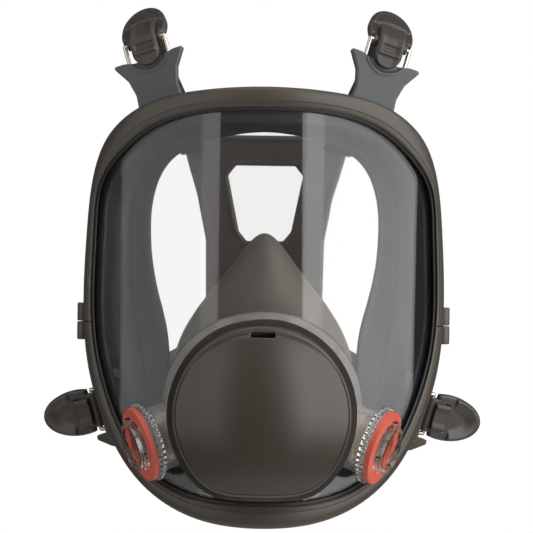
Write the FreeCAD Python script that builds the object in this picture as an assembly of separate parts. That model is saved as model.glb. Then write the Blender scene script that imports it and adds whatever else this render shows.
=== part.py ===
import FreeCAD, Part
import math
import os

# Full-face respirator facepiece for painting work, in millimetres.
# The wearer looks along -Y, +Z is up and +X is to the right as seen from the front.
# The origin is the middle of the face opening, level with the sealing lip's eye line.

V = FreeCAD.Vector

# ---------------------------------------------------------------- driving dimensions

# The lens and the frame are parts of upright round shells about one common axis.
SHELL_AXIS_Y = 24.0
LENS_OUTER_R = 104.0
LENS_WALL = 2.5
GASKET_WALL = 1.8
FRAME_LIP = 2.2
FRAME_BACK = 1.2
FIT = 0.2                     # assembly clearance between fixed pieces
RUN = 0.3                     # clearance between a moving piece and its neighbours
SEAT_GAP = 0.05               # what is left where a gasket is clamped

# Half outlines (x, z) seen from the front, from the top middle to the bottom middle.
FRAME_HALF = [(0, 88), (33, 86.2), (63, 78.8), (80, 65), (88.4, 44), (91.5, 18), (93, -20),
              (89.3, -54), (79.5, -81), (62.4, -106.5), (37, -122.8), (0, -128.4)]
WINDOW_HALF = [(0, 78), (32.4, 76.5), (58.2, 68.7), (73, 57.5), (83.8, 43), (87.4, 20),
               (88.5, -8), (86.8, -40), (80, -65), (66, -92), (49.5, -107.7), (28, -115.4),
               (0, -117.1)]
LIP_HALF = [(0, 68), (30, 63), (48, 54), (57, 36), (58.5, 17), (55, -10), (48.5, -37),
            (46.5, -62), (34, -90), (0, -102)]
COVER_HALF = [(0, -28), (19, -32), (35, -46), (42.6, -71), (37.5, -91), (25, -105.5),
              (0, -109)]
CONE_BASE_HALF = [(0, -19), (22, -24), (42, -40), (51, -68), (43, -92), (26, -108),
                  (0, -112)]

LENS_EDGE = 2.2               # how far the lens reaches under the frame
GASKET_EDGE = 3.0             # how far the lens gasket reaches under the frame
GASKET_SHOW = 1.6             # width of gasket seen inside the frame
FRAME_SPLIT_Z = -29.5         # joint between the upper and the lower frame
SPLIT_GAP = 0.4

LUG_R = 3.1                   # side lugs that hold the two frame halves together
LUG_X = 93.5
LUG_Y = -21.0
LUG_HEIGHT = 9.5
HEAD_ROOM = 5.0               # way left open past a screw head, a nut or a flange
SCREW_R = 1.1
SCREW_HEAD_R = 2.1
SCREW_HEAD_H = 1.8
NUT_R = 1.9
NUT_H = 2.0
DRIVE_LENGTH = 3.0            # slot in a screw head
DRIVE_WIDTH = 0.6
DRIVE_DEPTH = 0.9

# Face seal: flange behind the frame, side wall, and an in-turned lip on the face.
FACE_R = 89.0
FACE_AXIS_Y = 44.0
SEAL_INSET = 4.5
SEAL_WALL = 3.0
SEAL_FLANGE = 6.5
LIP_WALL = 3.0
SEAL_BACK_Y = 12.0            # furthest back that the seal reaches, at the temples
FACE_SIDE_Y = 60.0            # wearer's side of the face opening

# Clear cone that carries the centre adapter and the two filter ports.
CONE_BASE_Y = -58.0
CONE_FRONT_Y = -106.0
CONE_WALL = 2.6
CONE_RIM = 2.8
CONE_ROOT = 6.0               # how far the cone runs on behind its base, into the pane

ADAPTER_GASKET = 1.2
ADAPTER_PLATE = 2.8
SKIRT_DEPTH = 6.0
SKIRT_WALL = 2.0
NECK_INSET = 9.0
NECK_WALL = 2.0
NECK_DEPTH = 15.0
COVER_WALL = 2.2
COVER_DEPTH = 20.0
COVER_DOME_R = 80.0
COVER_MIDDLE_Z = -69.0
LEDGE_DEPTH = 4.0
LEDGE_WALL = 1.8
SLOT_LENGTH = 11.6
SLOT_WIDTH = 2.6
SLOT_DOWN = 3.0
OUTLET_WIDTH = 34.0
OUTLET_DEPTH = 6.0
OUTLET_TOP_Z = -100.0
LEDGE_GAP_TOP_Z = -90.0       # the ledge is left open below this, for the outlet

VALVE_Z = -86.5
VALVE_SEAT_R = 10.5
VALVE_BORE_R = 8.4
VALVE_FLAP_R = 9.4
FLAP_T = 0.8
VALVE_SPOKE_WIDTH = 1.2
VALVE_SPOKE_T = 1.6
VALVE_HUB_R = 2.4
DIAPHRAGM_Z = -57.0
DIAPHRAGM_R = 14.8
DIAPHRAGM_HOLE_R = 12.6
DIAPHRAGM_T = 0.6
DIAPHRAGM_RING_T = 1.2

# Nose cup sections behind the adapter.
CUP_WALL = 2.2
CUP_NECK_END_Y = -92.0
CUP_MID_Y = -62.0
CUP_FACE_Y = -42.0
CUP_MID_HALF = [(0, -20), (14, -25), (29, -40), (37, -59), (35, -80), (21, -94), (0, -97)]
CUP_FACE_HALF = [(0, 17), (14, 3), (30, -18), (44, -50), (38, -76), (22, -92), (0, -96)]
CUP_VALVE_AT = (40.0, -52.5, -57.0)
CUP_VALVE_AXIS = (0.94, -0.34, 0.0)
CUP_VALVE_R = 6.3
CUP_BOSS_WALL = 1.9
CUP_BOSS_IN = 3.5             # reach of the boss round a cup valve, inside and outside
CUP_BOSS_OUT = 2.5
CUP_SEAT_IN = 3.2
CUP_SEAT_OUT = 3.6
CUP_SEAT_FLANGE = 1.4
CUP_SEAT_WALL = 1.8
CUP_SPOKE_WIDTH = 1.2
CUP_SPOKE_T = 1.6
CUP_FLAP_INSET = 0.9

# Filter ports, right-hand one; the left-hand one is its mirror image.
PORT_AT = (60.0, -84.0, -88.0)
PORT_AXIS = (0.88, -0.36, -0.30)
PORT_GASKET_R = 18.5
PORT_GASKET_T = 2.6
PORT_FLANGE_R = 18.7
PORT_FLANGE_T = 4.0
PORT_NECK_R = 16.0
PORT_NECK_END = 20.0
SPIGOT_R = 12.0
SPIGOT_BORE_R = 10.0
SPIGOT_OUT = 4.0
COLLAR_R = 13.3
COLLAR_T = 5.0
LUG_OUT = 2.6
LUG_LENGTH = 2.4
LUG_SWEEP = 36.0
LUG_SET_BACK = 0.6            # bayonet lugs stand this far behind the spigot's end
SEAT_LENGTH = 7.3
SEAT_TIP_R = 10.6
SEAT_BORE_R = 8.4
SEAT_BAR_WIDTH = 1.4
SEAT_BAR_T = 1.6
PORT_LUG_TURNS = (20, 140, 260)
PORT_MOUTH = 5.0              # the lens stays open this far in front of a port
PORT_FLAP_R = 9.4

# Buckles: a steel wire bail in each tab, and a finger leaf that pivots on it.
WIRE_R = 1.1
BAIL_HALF = 10.6
PIN_FIT = 0.05
BARREL_R = 2.6
BARREL_HALF = 8.9
LEAF_T = 4.4
LEAF_HALF = 12.0
LEAF_LENGTH = 30.0
LEAF_WIDEST_AT = 10.0         # where the oval finger plate is widest, from the pin
LEAF_SHOULDER_AT = 3.0        # where it steps in to the pin barrel
LEAF_DOME_R = 20.0
LEAF_CROWN = 4.2
STRAP_T = 2.2
STRAP_HALF = 7.0
SLOT_AT = 9.0
TAB_T = 4.0
SLOT_GAP = 0.4
LOOP_START = 1.4              # where the strap on the leaf ends, short of the pin
LOOP_BELOW = 0.8              # how far the strap hangs out under the leaf
ARM_GAP = 0.15
TAIL_START = 2.6
TAIL_END = 13.0
RIDGE_INSET = 1.5             # grip ridge across the strap end, in from its edges
RIDGE_WIDTH = 2.0
RIDGE_HEIGHT = 1.4

# Pin centre, pin direction, leaf direction and tab direction of the right-hand buckles.
UPPER_PIN = (62.3, -46.0, 113.3)
UPPER_BAR = (-0.936, -0.18, 0.302)
UPPER_LEAF = (0.04, 0.80, 0.60)
UPPER_TAB = (0.296, 0.14, 0.943)
UPPER_BAIL = 12.0
UPPER_TAB_HALF = [(12, -37), (11.2, -26), (13.2, -18), (18.6, -9.6), (17.8, -8.4), (9, -9.4)]
LOWER_PIN = (86.3, -18.6, -75.5)
LOWER_BAR = (0.26, -0.105, 0.96)
LOWER_LEAF = (0.92, 0.34, -0.17)
LOWER_TAB = (0.777, 0.622, -0.092)
LOWER_BAIL = 6.6
LOWER_TAB_EDGE = [(23, -22), (20, -6), (16, 3), (13.6, 3), (12.8, -4), (-12.8, -4),
                  (-15, -9), (-20, -22)]

# Head harness: a flat ladder-shaped pad behind the head and four arms.
PAD_Y = 88.0
PAD_T = 3.0
PAD_HALF = [(0, 75), (44, 75), (48, 70), (38.5, 38), (34, 15), (33.5, -19), (37, -52),
            (31, -62), (0, -62)]
PAD_WINDOW_HALF = [(0, 57.6), (17, 57.6), (21.5, 52), (15, 20), (10.5, 14.6), (0, 14.6)]
ARM_T = 2.2
ARM_STRAIGHT = 4.0            # first run of an arm, straight back out of the leaf
ARM_TWIST_AT = 0.35           # share of the way to the pad where half the twist is done
ARM_FLARE = 0.5
UPPER_ARM_END = (41.0, 66.0)
LOWER_ARM_END = (33.0, -48.0)
ARM_HALF = 8.5

# ---------------------------------------------------------------- derived sizes

GASKET_OUTER_R = LENS_OUTER_R + GASKET_WALL
GASKET_INNER_R = LENS_OUTER_R - LENS_WALL - GASKET_WALL
FRAME_OUTER_R = GASKET_OUTER_R + FRAME_LIP
FRAME_INNER_R = GASKET_INNER_R - FRAME_BACK
PLATE_BACK_Y = CONE_FRONT_Y - ADAPTER_GASKET
PLATE_FRONT_Y = PLATE_BACK_Y - ADAPTER_PLATE
COVER_BACK_Y = PLATE_FRONT_Y - RUN
COVER_FRONT_Y = COVER_BACK_Y - COVER_DEPTH
STRAP_LOW = LEAF_T / 2 + RUN + 0.4
SHELL_BACK_Y = SHELL_AXIS_Y - 4.0

# Reach of tools that cut or trim, beyond what they cut.
FAR = 200.0
OVERRUN = 10.0
PAST = 1.0
HAIR = 0.01
BLANK_FRONT_Y = -130.0

os.makedirs("parts", exist_ok=True)


# ---------------------------------------------------------------- shape helpers

def closed_curve(half, y):
    """Closed smooth wire through a half outline and its mirror image."""
    right = [V(x, y, z) for x, z in half]
    left = [V(-x, y, z) for x, z in reversed(half[1:-1])]
    curve = Part.BSplineCurve()
    curve.interpolate(right + left, PeriodicFlag=True)
    return Part.Wire([curve.toShape()])


def grow(half, distance):
    """The half outline moved outwards by a distance, along its own normals."""
    moved = []
    for index, (x, z) in enumerate(half):
        if index in (0, len(half) - 1):
            side = 1 if index == 0 else -1
            moved.append((0, z + side * distance))
            continue
        before = half[index - 1]
        after = half[index + 1]
        run = V(after[0] - before[0], 0, after[1] - before[1]).normalize()
        moved.append((x - run.z * distance, z + run.x * distance))
    return moved


def blend_half(first, second, share):
    """Half outline part of the way from one half outline to another."""
    return [(a[0] + (b[0] - a[0]) * share, a[1] + (b[1] - a[1]) * share)
            for a, b in zip(first, second)]


def prism(half, y_from, y_to):
    face = Part.Face(closed_curve(half, y_from))
    return face.extrude(V(0, y_to - y_from, 0))


def polygon_prism(points, y_from, y_to):
    corners = [V(x, y_from, z) for x, z in points]
    face = Part.Face(Part.makePolygon(corners + [corners[0]]))
    return face.extrude(V(0, y_to - y_from, 0))


def tube_between(start, axis, low, high, radius):
    """Cylinder round an axis, between two distances along it."""
    axis = V(*axis).normalize()
    return Part.makeCylinder(radius, high - low, V(*start) + axis * low, axis)


def cone_between(start, axis, low, high, r_low, r_high):
    axis = V(*axis).normalize()
    return Part.makeCone(r_low, r_high, high - low, V(*start) + axis * low, axis)


def upright(radius, axis_y):
    return Part.makeCylinder(radius, 2 * FAR, V(0, axis_y, -FAR))


def shell_band(outer, inner, r_out, r_in, axis_y=SHELL_AXIS_Y):
    """Part of an upright round shell between two outlines."""
    blank = prism(outer, BLANK_FRONT_Y, SHELL_BACK_Y)
    if inner:
        blank = blank.cut(prism(inner, BLANK_FRONT_Y - OVERRUN, SHELL_AXIS_Y))
    return blank.common(upright(r_out, axis_y)).cut(upright(r_in, axis_y))


def mirrored(shape):
    return shape.mirror(V(0, 0, 0), V(1, 0, 0))


def cleaned(shape):
    solids = [solid for solid in shape.removeSplitter().Solids if solid.Volume > 1.0]
    return solids[0] if len(solids) == 1 else Part.makeCompound(solids)


def save(name, shape):
    result = cleaned(shape)
    result.exportStep("parts/" + name + ".step")
    box = result.BoundBox
    print("%-28s solids %d  volume %9.1f  valid %s  x %.1f %.1f  y %.1f %.1f  z %.1f %.1f" % (
        name, len(result.Solids), result.Volume, result.isValid(),
        box.XMin, box.XMax, box.YMin, box.YMax, box.ZMin, box.ZMax))


def save_pair(name, right_shape):
    save(name + "_right", right_shape)
    save(name + "_left", mirrored(right_shape))


# ---------------------------------------------------------------- lens and frame

def cone_half(y, inset):
    share = (y - CONE_BASE_Y) / (CONE_FRONT_Y - CONE_BASE_Y)
    front = grow(COVER_HALF, CONE_RIM)
    return grow(blend_half(CONE_BASE_HALF, front, share), -inset)


def cone_solid(y_from, y_to, inset):
    wires = [closed_curve(cone_half(y, inset), y) for y in (y_from, y_to)]
    return Part.makeLoft(wires, True, True)


def make_lens():
    blank = prism(grow(WINDOW_HALF, LENS_EDGE), BLANK_FRONT_Y, SHELL_BACK_Y)
    pane = blank.common(upright(LENS_OUTER_R, SHELL_AXIS_Y))
    lens = pane.fuse(cone_solid(CONE_BASE_Y + CONE_ROOT, CONE_FRONT_Y, 0))
    for side in (1, -1):
        at = (side * PORT_AT[0], PORT_AT[1], PORT_AT[2])
        axis = (side * PORT_AXIS[0], PORT_AXIS[1], PORT_AXIS[2])
        flange_face = -PORT_GASKET_T
        flange = tube_between(at, axis, flange_face - PORT_FLANGE_T, flange_face, PORT_FLANGE_R)
        neck = tube_between(at, axis, -PORT_NECK_END, flange_face - PAST, PORT_NECK_R)
        lens = lens.fuse(flange).fuse(neck)
    lens = lens.cut(upright(LENS_OUTER_R - LENS_WALL, SHELL_AXIS_Y))
    lens = lens.cut(cone_solid(CONE_BASE_Y + 2 * CONE_ROOT, CONE_FRONT_Y - PAST, CONE_WALL))
    for side in (1, -1):
        at = (side * PORT_AT[0], PORT_AT[1], PORT_AT[2])
        axis = (side * PORT_AXIS[0], PORT_AXIS[1], PORT_AXIS[2])
        collar_face = -PORT_GASKET_T - PORT_FLANGE_T
        neck_back = -PORT_NECK_END - 2 * CONE_ROOT
        lens = lens.cut(tube_between(at, axis, neck_back, collar_face, COLLAR_R + FIT))
        lens = lens.cut(tube_between(at, axis, -PORT_NECK_END, PORT_MOUTH, SPIGOT_R + FIT))
    return lens


def make_lens_gasket():
    outer = grow(WINDOW_HALF, GASKET_EDGE)
    band = shell_band(outer, grow(WINDOW_HALF, -GASKET_SHOW), GASKET_OUTER_R, GASKET_INNER_R)
    groove = shell_band(grow(WINDOW_HALF, LENS_EDGE + FIT), None,
                        LENS_OUTER_R + FIT / 2, LENS_OUTER_R - LENS_WALL - FIT / 2)
    return band.cut(groove)


def make_frame():
    band = shell_band(FRAME_HALF, WINDOW_HALF, FRAME_OUTER_R, FRAME_INNER_R)
    channel = shell_band(grow(WINDOW_HALF, GASKET_EDGE + FIT), None,
                         GASKET_OUTER_R + FIT / 2, GASKET_INNER_R - FIT / 2)
    back_way = prism(grow(WINDOW_HALF, -HAIR), BLANK_FRONT_Y, SHELL_BACK_Y)
    back_way = back_way.common(upright(GASKET_OUTER_R, SHELL_AXIS_Y))
    band = band.cut(channel).cut(back_way)
    for side in (1, -1):
        lug = Part.makeCylinder(LUG_R, 2 * LUG_HEIGHT,
                                V(side * LUG_X, LUG_Y, FRAME_SPLIT_Z - LUG_HEIGHT))
        lug = lug.cut(upright(GASKET_OUTER_R + FIT, SHELL_AXIS_Y).common(
            prism(grow(WINDOW_HALF, GASKET_EDGE + FIT), BLANK_FRONT_Y, SHELL_BACK_Y)))
        band = band.fuse(lug)
        head_top = FRAME_SPLIT_Z - LUG_HEIGHT + SCREW_HEAD_H
        nut_low = FRAME_SPLIT_Z + LUG_HEIGHT - NUT_H - FIT
        place = V(side * LUG_X, LUG_Y, 0)
        band = band.cut(Part.makeCylinder(SCREW_R + FIT, 2 * LUG_HEIGHT,
                                          place + V(0, 0, FRAME_SPLIT_Z - LUG_HEIGHT)))
        band = band.cut(Part.makeCylinder(SCREW_HEAD_R + FIT, SCREW_HEAD_H + HEAD_ROOM,
                                          place + V(0, 0, head_top - SCREW_HEAD_H - HEAD_ROOM)))
        band = band.cut(Part.makeCylinder(NUT_R + FIT, NUT_H + HEAD_ROOM, place + V(0, 0, nut_low)))
    block = Part.makeBox(2 * FAR, 2 * FAR, FAR, V(-FAR, -FAR, FRAME_SPLIT_Z + SPLIT_GAP / 2))
    upper = band.common(block)
    block.translate(V(0, 0, -FAR - SPLIT_GAP))
    lower = band.common(block)
    return upper, lower


def make_frame_fasteners():
    screws = []
    nuts = []
    low = FRAME_SPLIT_Z - LUG_HEIGHT
    nut_low = FRAME_SPLIT_Z + LUG_HEIGHT - NUT_H
    for side in (1, -1):
        place = V(side * LUG_X, LUG_Y, 0)
        shank = Part.makeCylinder(SCREW_R, 2 * LUG_HEIGHT - NUT_H, place + V(0, 0, low))
        head = Part.makeCylinder(SCREW_HEAD_R, SCREW_HEAD_H, place + V(0, 0, low))
        drive = Part.makeBox(DRIVE_LENGTH, DRIVE_WIDTH, DRIVE_DEPTH,
                             place + V(-DRIVE_LENGTH / 2, -DRIVE_WIDTH / 2, low))
        screws.append(shank.fuse(head).cut(drive))
        corners = [V(NUT_R * math.cos(math.radians(60 * k)), NUT_R * math.sin(math.radians(60 * k)), 0)
                   for k in range(7)]
        nut = Part.Face(Part.makePolygon(corners)).extrude(V(0, 0, NUT_H))
        nut.translate(place + V(0, 0, nut_low))
        nuts.append(nut.cut(Part.makeCylinder(SCREW_R + FIT / 2, 4 * NUT_H,
                                              place + V(0, 0, nut_low - NUT_H))))
    return Part.makeCompound(screws), Part.makeCompound(nuts)


# ---------------------------------------------------------------- face seal and nose cup

def seal_half(inset=0.0):
    return grow(FRAME_HALF, -SEAL_INSET - inset)


def make_face_seal():
    front_r = FRAME_INNER_R - FIT
    blank = prism(seal_half(), BLANK_FRONT_Y, SEAL_BACK_Y).common(upright(front_r, SHELL_AXIS_Y))
    face = upright(FACE_R, FACE_AXIS_Y)
    blank = blank.cut(face)
    room = prism(seal_half(SEAL_WALL), BLANK_FRONT_Y, SEAL_BACK_Y - LIP_WALL)
    room = room.common(upright(front_r - SEAL_WALL, SHELL_AXIS_Y))
    room = room.cut(upright(FACE_R + LIP_WALL, FACE_AXIS_Y))
    flange_way = prism(grow(WINDOW_HALF, -SEAL_FLANGE), BLANK_FRONT_Y, 0)
    flange_way = flange_way.cut(upright(FACE_R + LIP_WALL, FACE_AXIS_Y))
    return blank.cut(room).cut(flange_way).cut(prism(LIP_HALF, BLANK_FRONT_Y, FACE_SIDE_Y))


def cup_solid(inset):
    neck = grow(COVER_HALF, -NECK_INSET + FIT + CUP_WALL - inset)
    wires = [closed_curve(neck, PLATE_BACK_Y + FIT), closed_curve(neck, CUP_NECK_END_Y),
             closed_curve(grow(CUP_MID_HALF, -inset), CUP_MID_Y),
             closed_curve(grow(CUP_FACE_HALF, -inset), CUP_FACE_Y)]
    return Part.makeLoft(wires, True, True)


def make_nose_cup():
    cup = cup_solid(0)
    for side in (1, -1):
        at = (side * CUP_VALVE_AT[0], CUP_VALVE_AT[1], CUP_VALVE_AT[2])
        axis = (side * CUP_VALVE_AXIS[0], CUP_VALVE_AXIS[1], CUP_VALVE_AXIS[2])
        cup = cup.fuse(tube_between(at, axis, -CUP_BOSS_IN, CUP_BOSS_OUT,
                                    CUP_VALVE_R + CUP_BOSS_WALL))
    inner = cup_solid(CUP_WALL)
    ends = prism(grow(COVER_HALF, -NECK_INSET + FIT), PLATE_BACK_Y - PAST, PLATE_BACK_Y + 2 * PAST)
    ends = ends.fuse(prism(grow(CUP_FACE_HALF, -CUP_WALL), CUP_FACE_Y - PAST, CUP_FACE_Y + 2 * PAST))
    cup = cup.cut(inner).cut(ends)
    for side in (1, -1):
        at = (side * CUP_VALVE_AT[0], CUP_VALVE_AT[1], CUP_VALVE_AT[2])
        axis = (side * CUP_VALVE_AXIS[0], CUP_VALVE_AXIS[1], CUP_VALVE_AXIS[2])
        cup = cup.fuse(tube_between(at, axis, -CUP_BOSS_IN, CUP_BOSS_OUT,
                                    CUP_VALVE_R + CUP_BOSS_WALL))
        cup = cup.cut(tube_between(at, axis, -OVERRUN, OVERRUN, CUP_VALVE_R))
    return cup


def make_cup_valve():
    at, axis = CUP_VALVE_AT, CUP_VALVE_AXIS
    seat = tube_between(at, axis, -CUP_SEAT_IN, CUP_SEAT_OUT, CUP_VALVE_R - FIT / 2)
    seat = seat.fuse(tube_between(at, axis, CUP_BOSS_OUT + FIT / 2, CUP_SEAT_OUT,
                                  CUP_VALVE_R + CUP_SEAT_FLANGE))
    seat = seat.cut(tube_between(at, axis, -OVERRUN, OVERRUN, CUP_VALVE_R - CUP_SEAT_WALL))
    for turn in (0, 90):
        spoke = Part.makeBox(2 * CUP_VALVE_R - 2 * PAST, CUP_SPOKE_WIDTH, CUP_SPOKE_T,
                             V(PAST - CUP_VALVE_R, -CUP_SPOKE_WIDTH / 2, -CUP_SEAT_IN))
        spoke.rotate(V(0, 0, 0), V(0, 0, 1), turn)
        spoke.Placement = FreeCAD.Placement(V(*at), FreeCAD.Rotation(V(0, 0, 1), V(*axis))).multiply(
            spoke.Placement)
        seat = seat.fuse(spoke)
    flap = tube_between(at, axis, -CUP_SEAT_IN - RUN - FLAP_T, -CUP_SEAT_IN - RUN,
                        CUP_VALVE_R - CUP_FLAP_INSET)
    return seat, flap


# ---------------------------------------------------------------- centre adapter and cover

def make_adapter():
    plate = prism(grow(COVER_HALF, CONE_RIM), PLATE_FRONT_Y, PLATE_BACK_Y)
    skirt_out = grow(COVER_HALF, CONE_RIM - CONE_WALL - FIT)
    skirt = prism(skirt_out, PLATE_BACK_Y, PLATE_BACK_Y + SKIRT_DEPTH)
    skirt = skirt.cut(prism(grow(skirt_out, -SKIRT_WALL), PLATE_BACK_Y, PLATE_BACK_Y + FAR))
    neck_out = grow(COVER_HALF, -NECK_INSET)
    neck = prism(neck_out, PLATE_BACK_Y, PLATE_BACK_Y + NECK_DEPTH)
    neck = neck.cut(prism(grow(neck_out, -NECK_WALL), PLATE_BACK_Y, PLATE_BACK_Y + FAR))
    ledge_out = grow(COVER_HALF, -COVER_WALL - RUN)
    ledge = prism(ledge_out, PLATE_FRONT_Y - LEDGE_DEPTH, PLATE_FRONT_Y)
    ledge = ledge.cut(prism(grow(ledge_out, -LEDGE_WALL), PLATE_FRONT_Y - FAR, PLATE_FRONT_Y))
    ledge = ledge.cut(Part.makeBox(OUTLET_WIDTH, FAR, FAR,
                                   V(-OUTLET_WIDTH / 2, -FAR, LEDGE_GAP_TOP_Z - FAR)))
    body = plate.fuse(skirt).fuse(neck).fuse(ledge)
    body = body.cut(tube_between((0, PLATE_BACK_Y, VALVE_Z), (0, -1, 0), -OVERRUN, OVERRUN,
                                 VALVE_SEAT_R + FIT))
    body = body.cut(tube_between((0, PLATE_BACK_Y, DIAPHRAGM_Z), (0, -1, 0), -OVERRUN, OVERRUN,
                                 DIAPHRAGM_HOLE_R))
    pocket = DIAPHRAGM_T + DIAPHRAGM_RING_T
    body = body.cut(tube_between((0, PLATE_FRONT_Y + pocket, DIAPHRAGM_Z), (0, -1, 0),
                                 0, OVERRUN, DIAPHRAGM_R + FIT))
    return body


def make_adapter_gasket():
    outer = prism(grow(COVER_HALF, CONE_RIM), PLATE_BACK_Y + SEAT_GAP, CONE_FRONT_Y - SEAT_GAP)
    return outer.cut(prism(grow(COVER_HALF, CONE_RIM - CONE_WALL), BLANK_FRONT_Y,
                           CONE_FRONT_Y + OVERRUN))


def make_exhalation_valve():
    middle = (0, PLATE_FRONT_Y, VALVE_Z)
    back = (0, 1, 0)
    seat = tube_between(middle, back, 0, ADAPTER_PLATE, VALVE_SEAT_R)
    seat = seat.cut(tube_between(middle, back, -PAST, OVERRUN, VALVE_BORE_R))
    for turn in (0, 60, 120):
        spoke = Part.makeBox(2 * VALVE_BORE_R + PAST, VALVE_SPOKE_T, VALVE_SPOKE_WIDTH,
                             V(-VALVE_BORE_R - PAST / 2, 0, -VALVE_SPOKE_WIDTH / 2))
        spoke.rotate(V(0, 0, 0), V(0, 1, 0), turn)
        spoke.translate(V(*middle))
        seat = seat.fuse(spoke)
    seat = seat.fuse(tube_between(middle, back, 0, VALVE_SPOKE_T, VALVE_HUB_R))
    flap = tube_between(middle, back, -RUN - FLAP_T, -RUN, VALVE_FLAP_R)
    return seat, flap


def make_diaphragm():
    middle = (0, PLATE_FRONT_Y, DIAPHRAGM_Z)
    ring = tube_between(middle, (0, 1, 0), 0, DIAPHRAGM_RING_T, DIAPHRAGM_R)
    ring = ring.cut(tube_between(middle, (0, 1, 0), -PAST, OVERRUN, DIAPHRAGM_HOLE_R))
    disc = tube_between(middle, (0, 1, 0), DIAPHRAGM_RING_T, DIAPHRAGM_RING_T + DIAPHRAGM_T,
                        DIAPHRAGM_R)
    return disc, ring


def cover_solid(inset):
    dome = Part.makeSphere(COVER_DOME_R - inset, V(0, COVER_FRONT_Y + COVER_DOME_R, COVER_MIDDLE_Z))
    return prism(grow(COVER_HALF, -inset), COVER_BACK_Y, COVER_FRONT_Y - OVERRUN).common(dome)


def make_cover():
    cover = cover_solid(0).cut(cover_solid(COVER_WALL))
    slot_top = COVER_HALF[0][1] - SLOT_DOWN
    cover = cover.cut(Part.makeBox(SLOT_LENGTH, FAR, SLOT_WIDTH,
                                   V(-SLOT_LENGTH / 2, -FAR, slot_top - SLOT_WIDTH)))
    outlet = Part.makeBox(OUTLET_WIDTH, OUTLET_DEPTH, FAR,
                          V(-OUTLET_WIDTH / 2, COVER_BACK_Y - OUTLET_DEPTH, OUTLET_TOP_Z - FAR))
    return cover.cut(outlet)


# ---------------------------------------------------------------- filter ports

def make_port():
    at, axis = PORT_AT, PORT_AXIS
    collar_face = -PORT_GASKET_T - PORT_FLANGE_T - FIT
    spigot = tube_between(at, axis, collar_face - COLLAR_T, SPIGOT_OUT, SPIGOT_R)
    spigot = spigot.fuse(tube_between(at, axis, collar_face - COLLAR_T, collar_face, COLLAR_R))
    direction = V(*axis).normalize()
    for turn in PORT_LUG_TURNS:
        lug = Part.makeCylinder(SPIGOT_R + LUG_OUT, LUG_LENGTH, V(0, 0, 0), V(0, 0, 1), LUG_SWEEP)
        lug.rotate(V(0, 0, 0), V(0, 0, 1), turn)
        lug.Placement = FreeCAD.Placement(V(*at) + direction * (SPIGOT_OUT - LUG_LENGTH - LUG_SET_BACK),
                                          FreeCAD.Rotation(V(0, 0, 1), direction)).multiply(lug.Placement)
        spigot = spigot.fuse(lug)
    spigot = spigot.cut(tube_between(at, axis, -FAR, FAR, SPIGOT_BORE_R))
    gasket = tube_between(at, axis, -PORT_GASKET_T + SEAT_GAP, 0, PORT_GASKET_R)
    gasket = gasket.cut(tube_between(at, axis, -OVERRUN, OVERRUN, SPIGOT_R + FIT))
    seat_face = collar_face - COLLAR_T - FIT / 2
    seat_end = seat_face - SEAT_LENGTH
    seat = cone_between(at, axis, seat_end, seat_face, SEAT_TIP_R, COLLAR_R)
    seat = seat.cut(tube_between(at, axis, -FAR, FAR, SEAT_BORE_R))
    for turn in (0, 90):
        bar = Part.makeBox(2 * SEAT_BORE_R + PAST, SEAT_BAR_WIDTH, SEAT_BAR_T,
                           V(-SEAT_BORE_R - PAST / 2, -SEAT_BAR_WIDTH / 2, 0))
        bar.rotate(V(0, 0, 0), V(0, 0, 1), turn)
        bar.Placement = FreeCAD.Placement(V(*at) + direction * seat_end,
                                          FreeCAD.Rotation(V(0, 0, 1), direction)).multiply(bar.Placement)
        seat = seat.fuse(bar)
    flap = tube_between(at, axis, seat_end - RUN - FLAP_T, seat_end - RUN, PORT_FLAP_R)
    return spigot, gasket, seat, flap


# ---------------------------------------------------------------- buckles, tabs and straps

class LocalFrame:
    """Axes at a buckle's pin: x along the pin, y along a plate, z outwards from it."""

    def __init__(self, origin, bar, along):
        self.x = V(*bar).normalize()
        along = V(*along)
        self.y = (along - self.x * along.dot(self.x)).normalize()
        self.z = self.x.cross(self.y)
        self.origin = V(*origin)

    def place(self, shape):
        matrix = FreeCAD.Matrix(self.x.x, self.y.x, self.z.x, self.origin.x,
                                self.x.y, self.y.y, self.z.y, self.origin.y,
                                self.x.z, self.y.z, self.z.z, self.origin.z,
                                0, 0, 0, 1)
        moved = shape.copy()
        moved.Placement = FreeCAD.Placement(matrix).multiply(moved.Placement)
        return moved

    def point(self, x, y, z):
        return self.origin + self.x * x + self.y * y + self.z * z


def local_plate(points, z_from, z_to):
    corners = [V(x, y, z_from) for x, y in points]
    face = Part.Face(Part.makePolygon(corners + [corners[0]]))
    return face.extrude(V(0, 0, z_to - z_from))


def make_bail(length):
    bail = Part.makeCylinder(WIRE_R, 2 * BAIL_HALF, V(-BAIL_HALF, 0, 0), V(1, 0, 0))
    bail = bail.fuse(Part.makeCylinder(WIRE_R, 2 * BAIL_HALF, V(-BAIL_HALF, -length, 0), V(1, 0, 0)))
    for side in (1, -1):
        bail = bail.fuse(Part.makeCylinder(WIRE_R, length, V(side * BAIL_HALF, -length, 0), V(0, 1, 0)))
        bail = bail.fuse(Part.makeSphere(WIRE_R, V(side * BAIL_HALF, 0, 0)))
        bail = bail.fuse(Part.makeSphere(WIRE_R, V(side * BAIL_HALF, -length, 0)))
    return bail


def leaf_oval(height):
    """Oval finger plate, cut off at its shoulder, from the leaf's back face upwards."""
    oval = Part.Ellipse(V(0, LEAF_LENGTH, 0), V(LEAF_HALF, LEAF_WIDEST_AT, 0), V(0, LEAF_WIDEST_AT, 0))
    plate = Part.Face(Part.Wire([oval.toShape()])).extrude(V(0, 0, height))
    plate = plate.cut(Part.makeBox(2 * FAR, FAR, 2 * FAR, V(-FAR, LEAF_SHOULDER_AT - FAR, -FAR)))
    plate.translate(V(0, 0, -LEAF_T / 2))
    return plate


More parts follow.
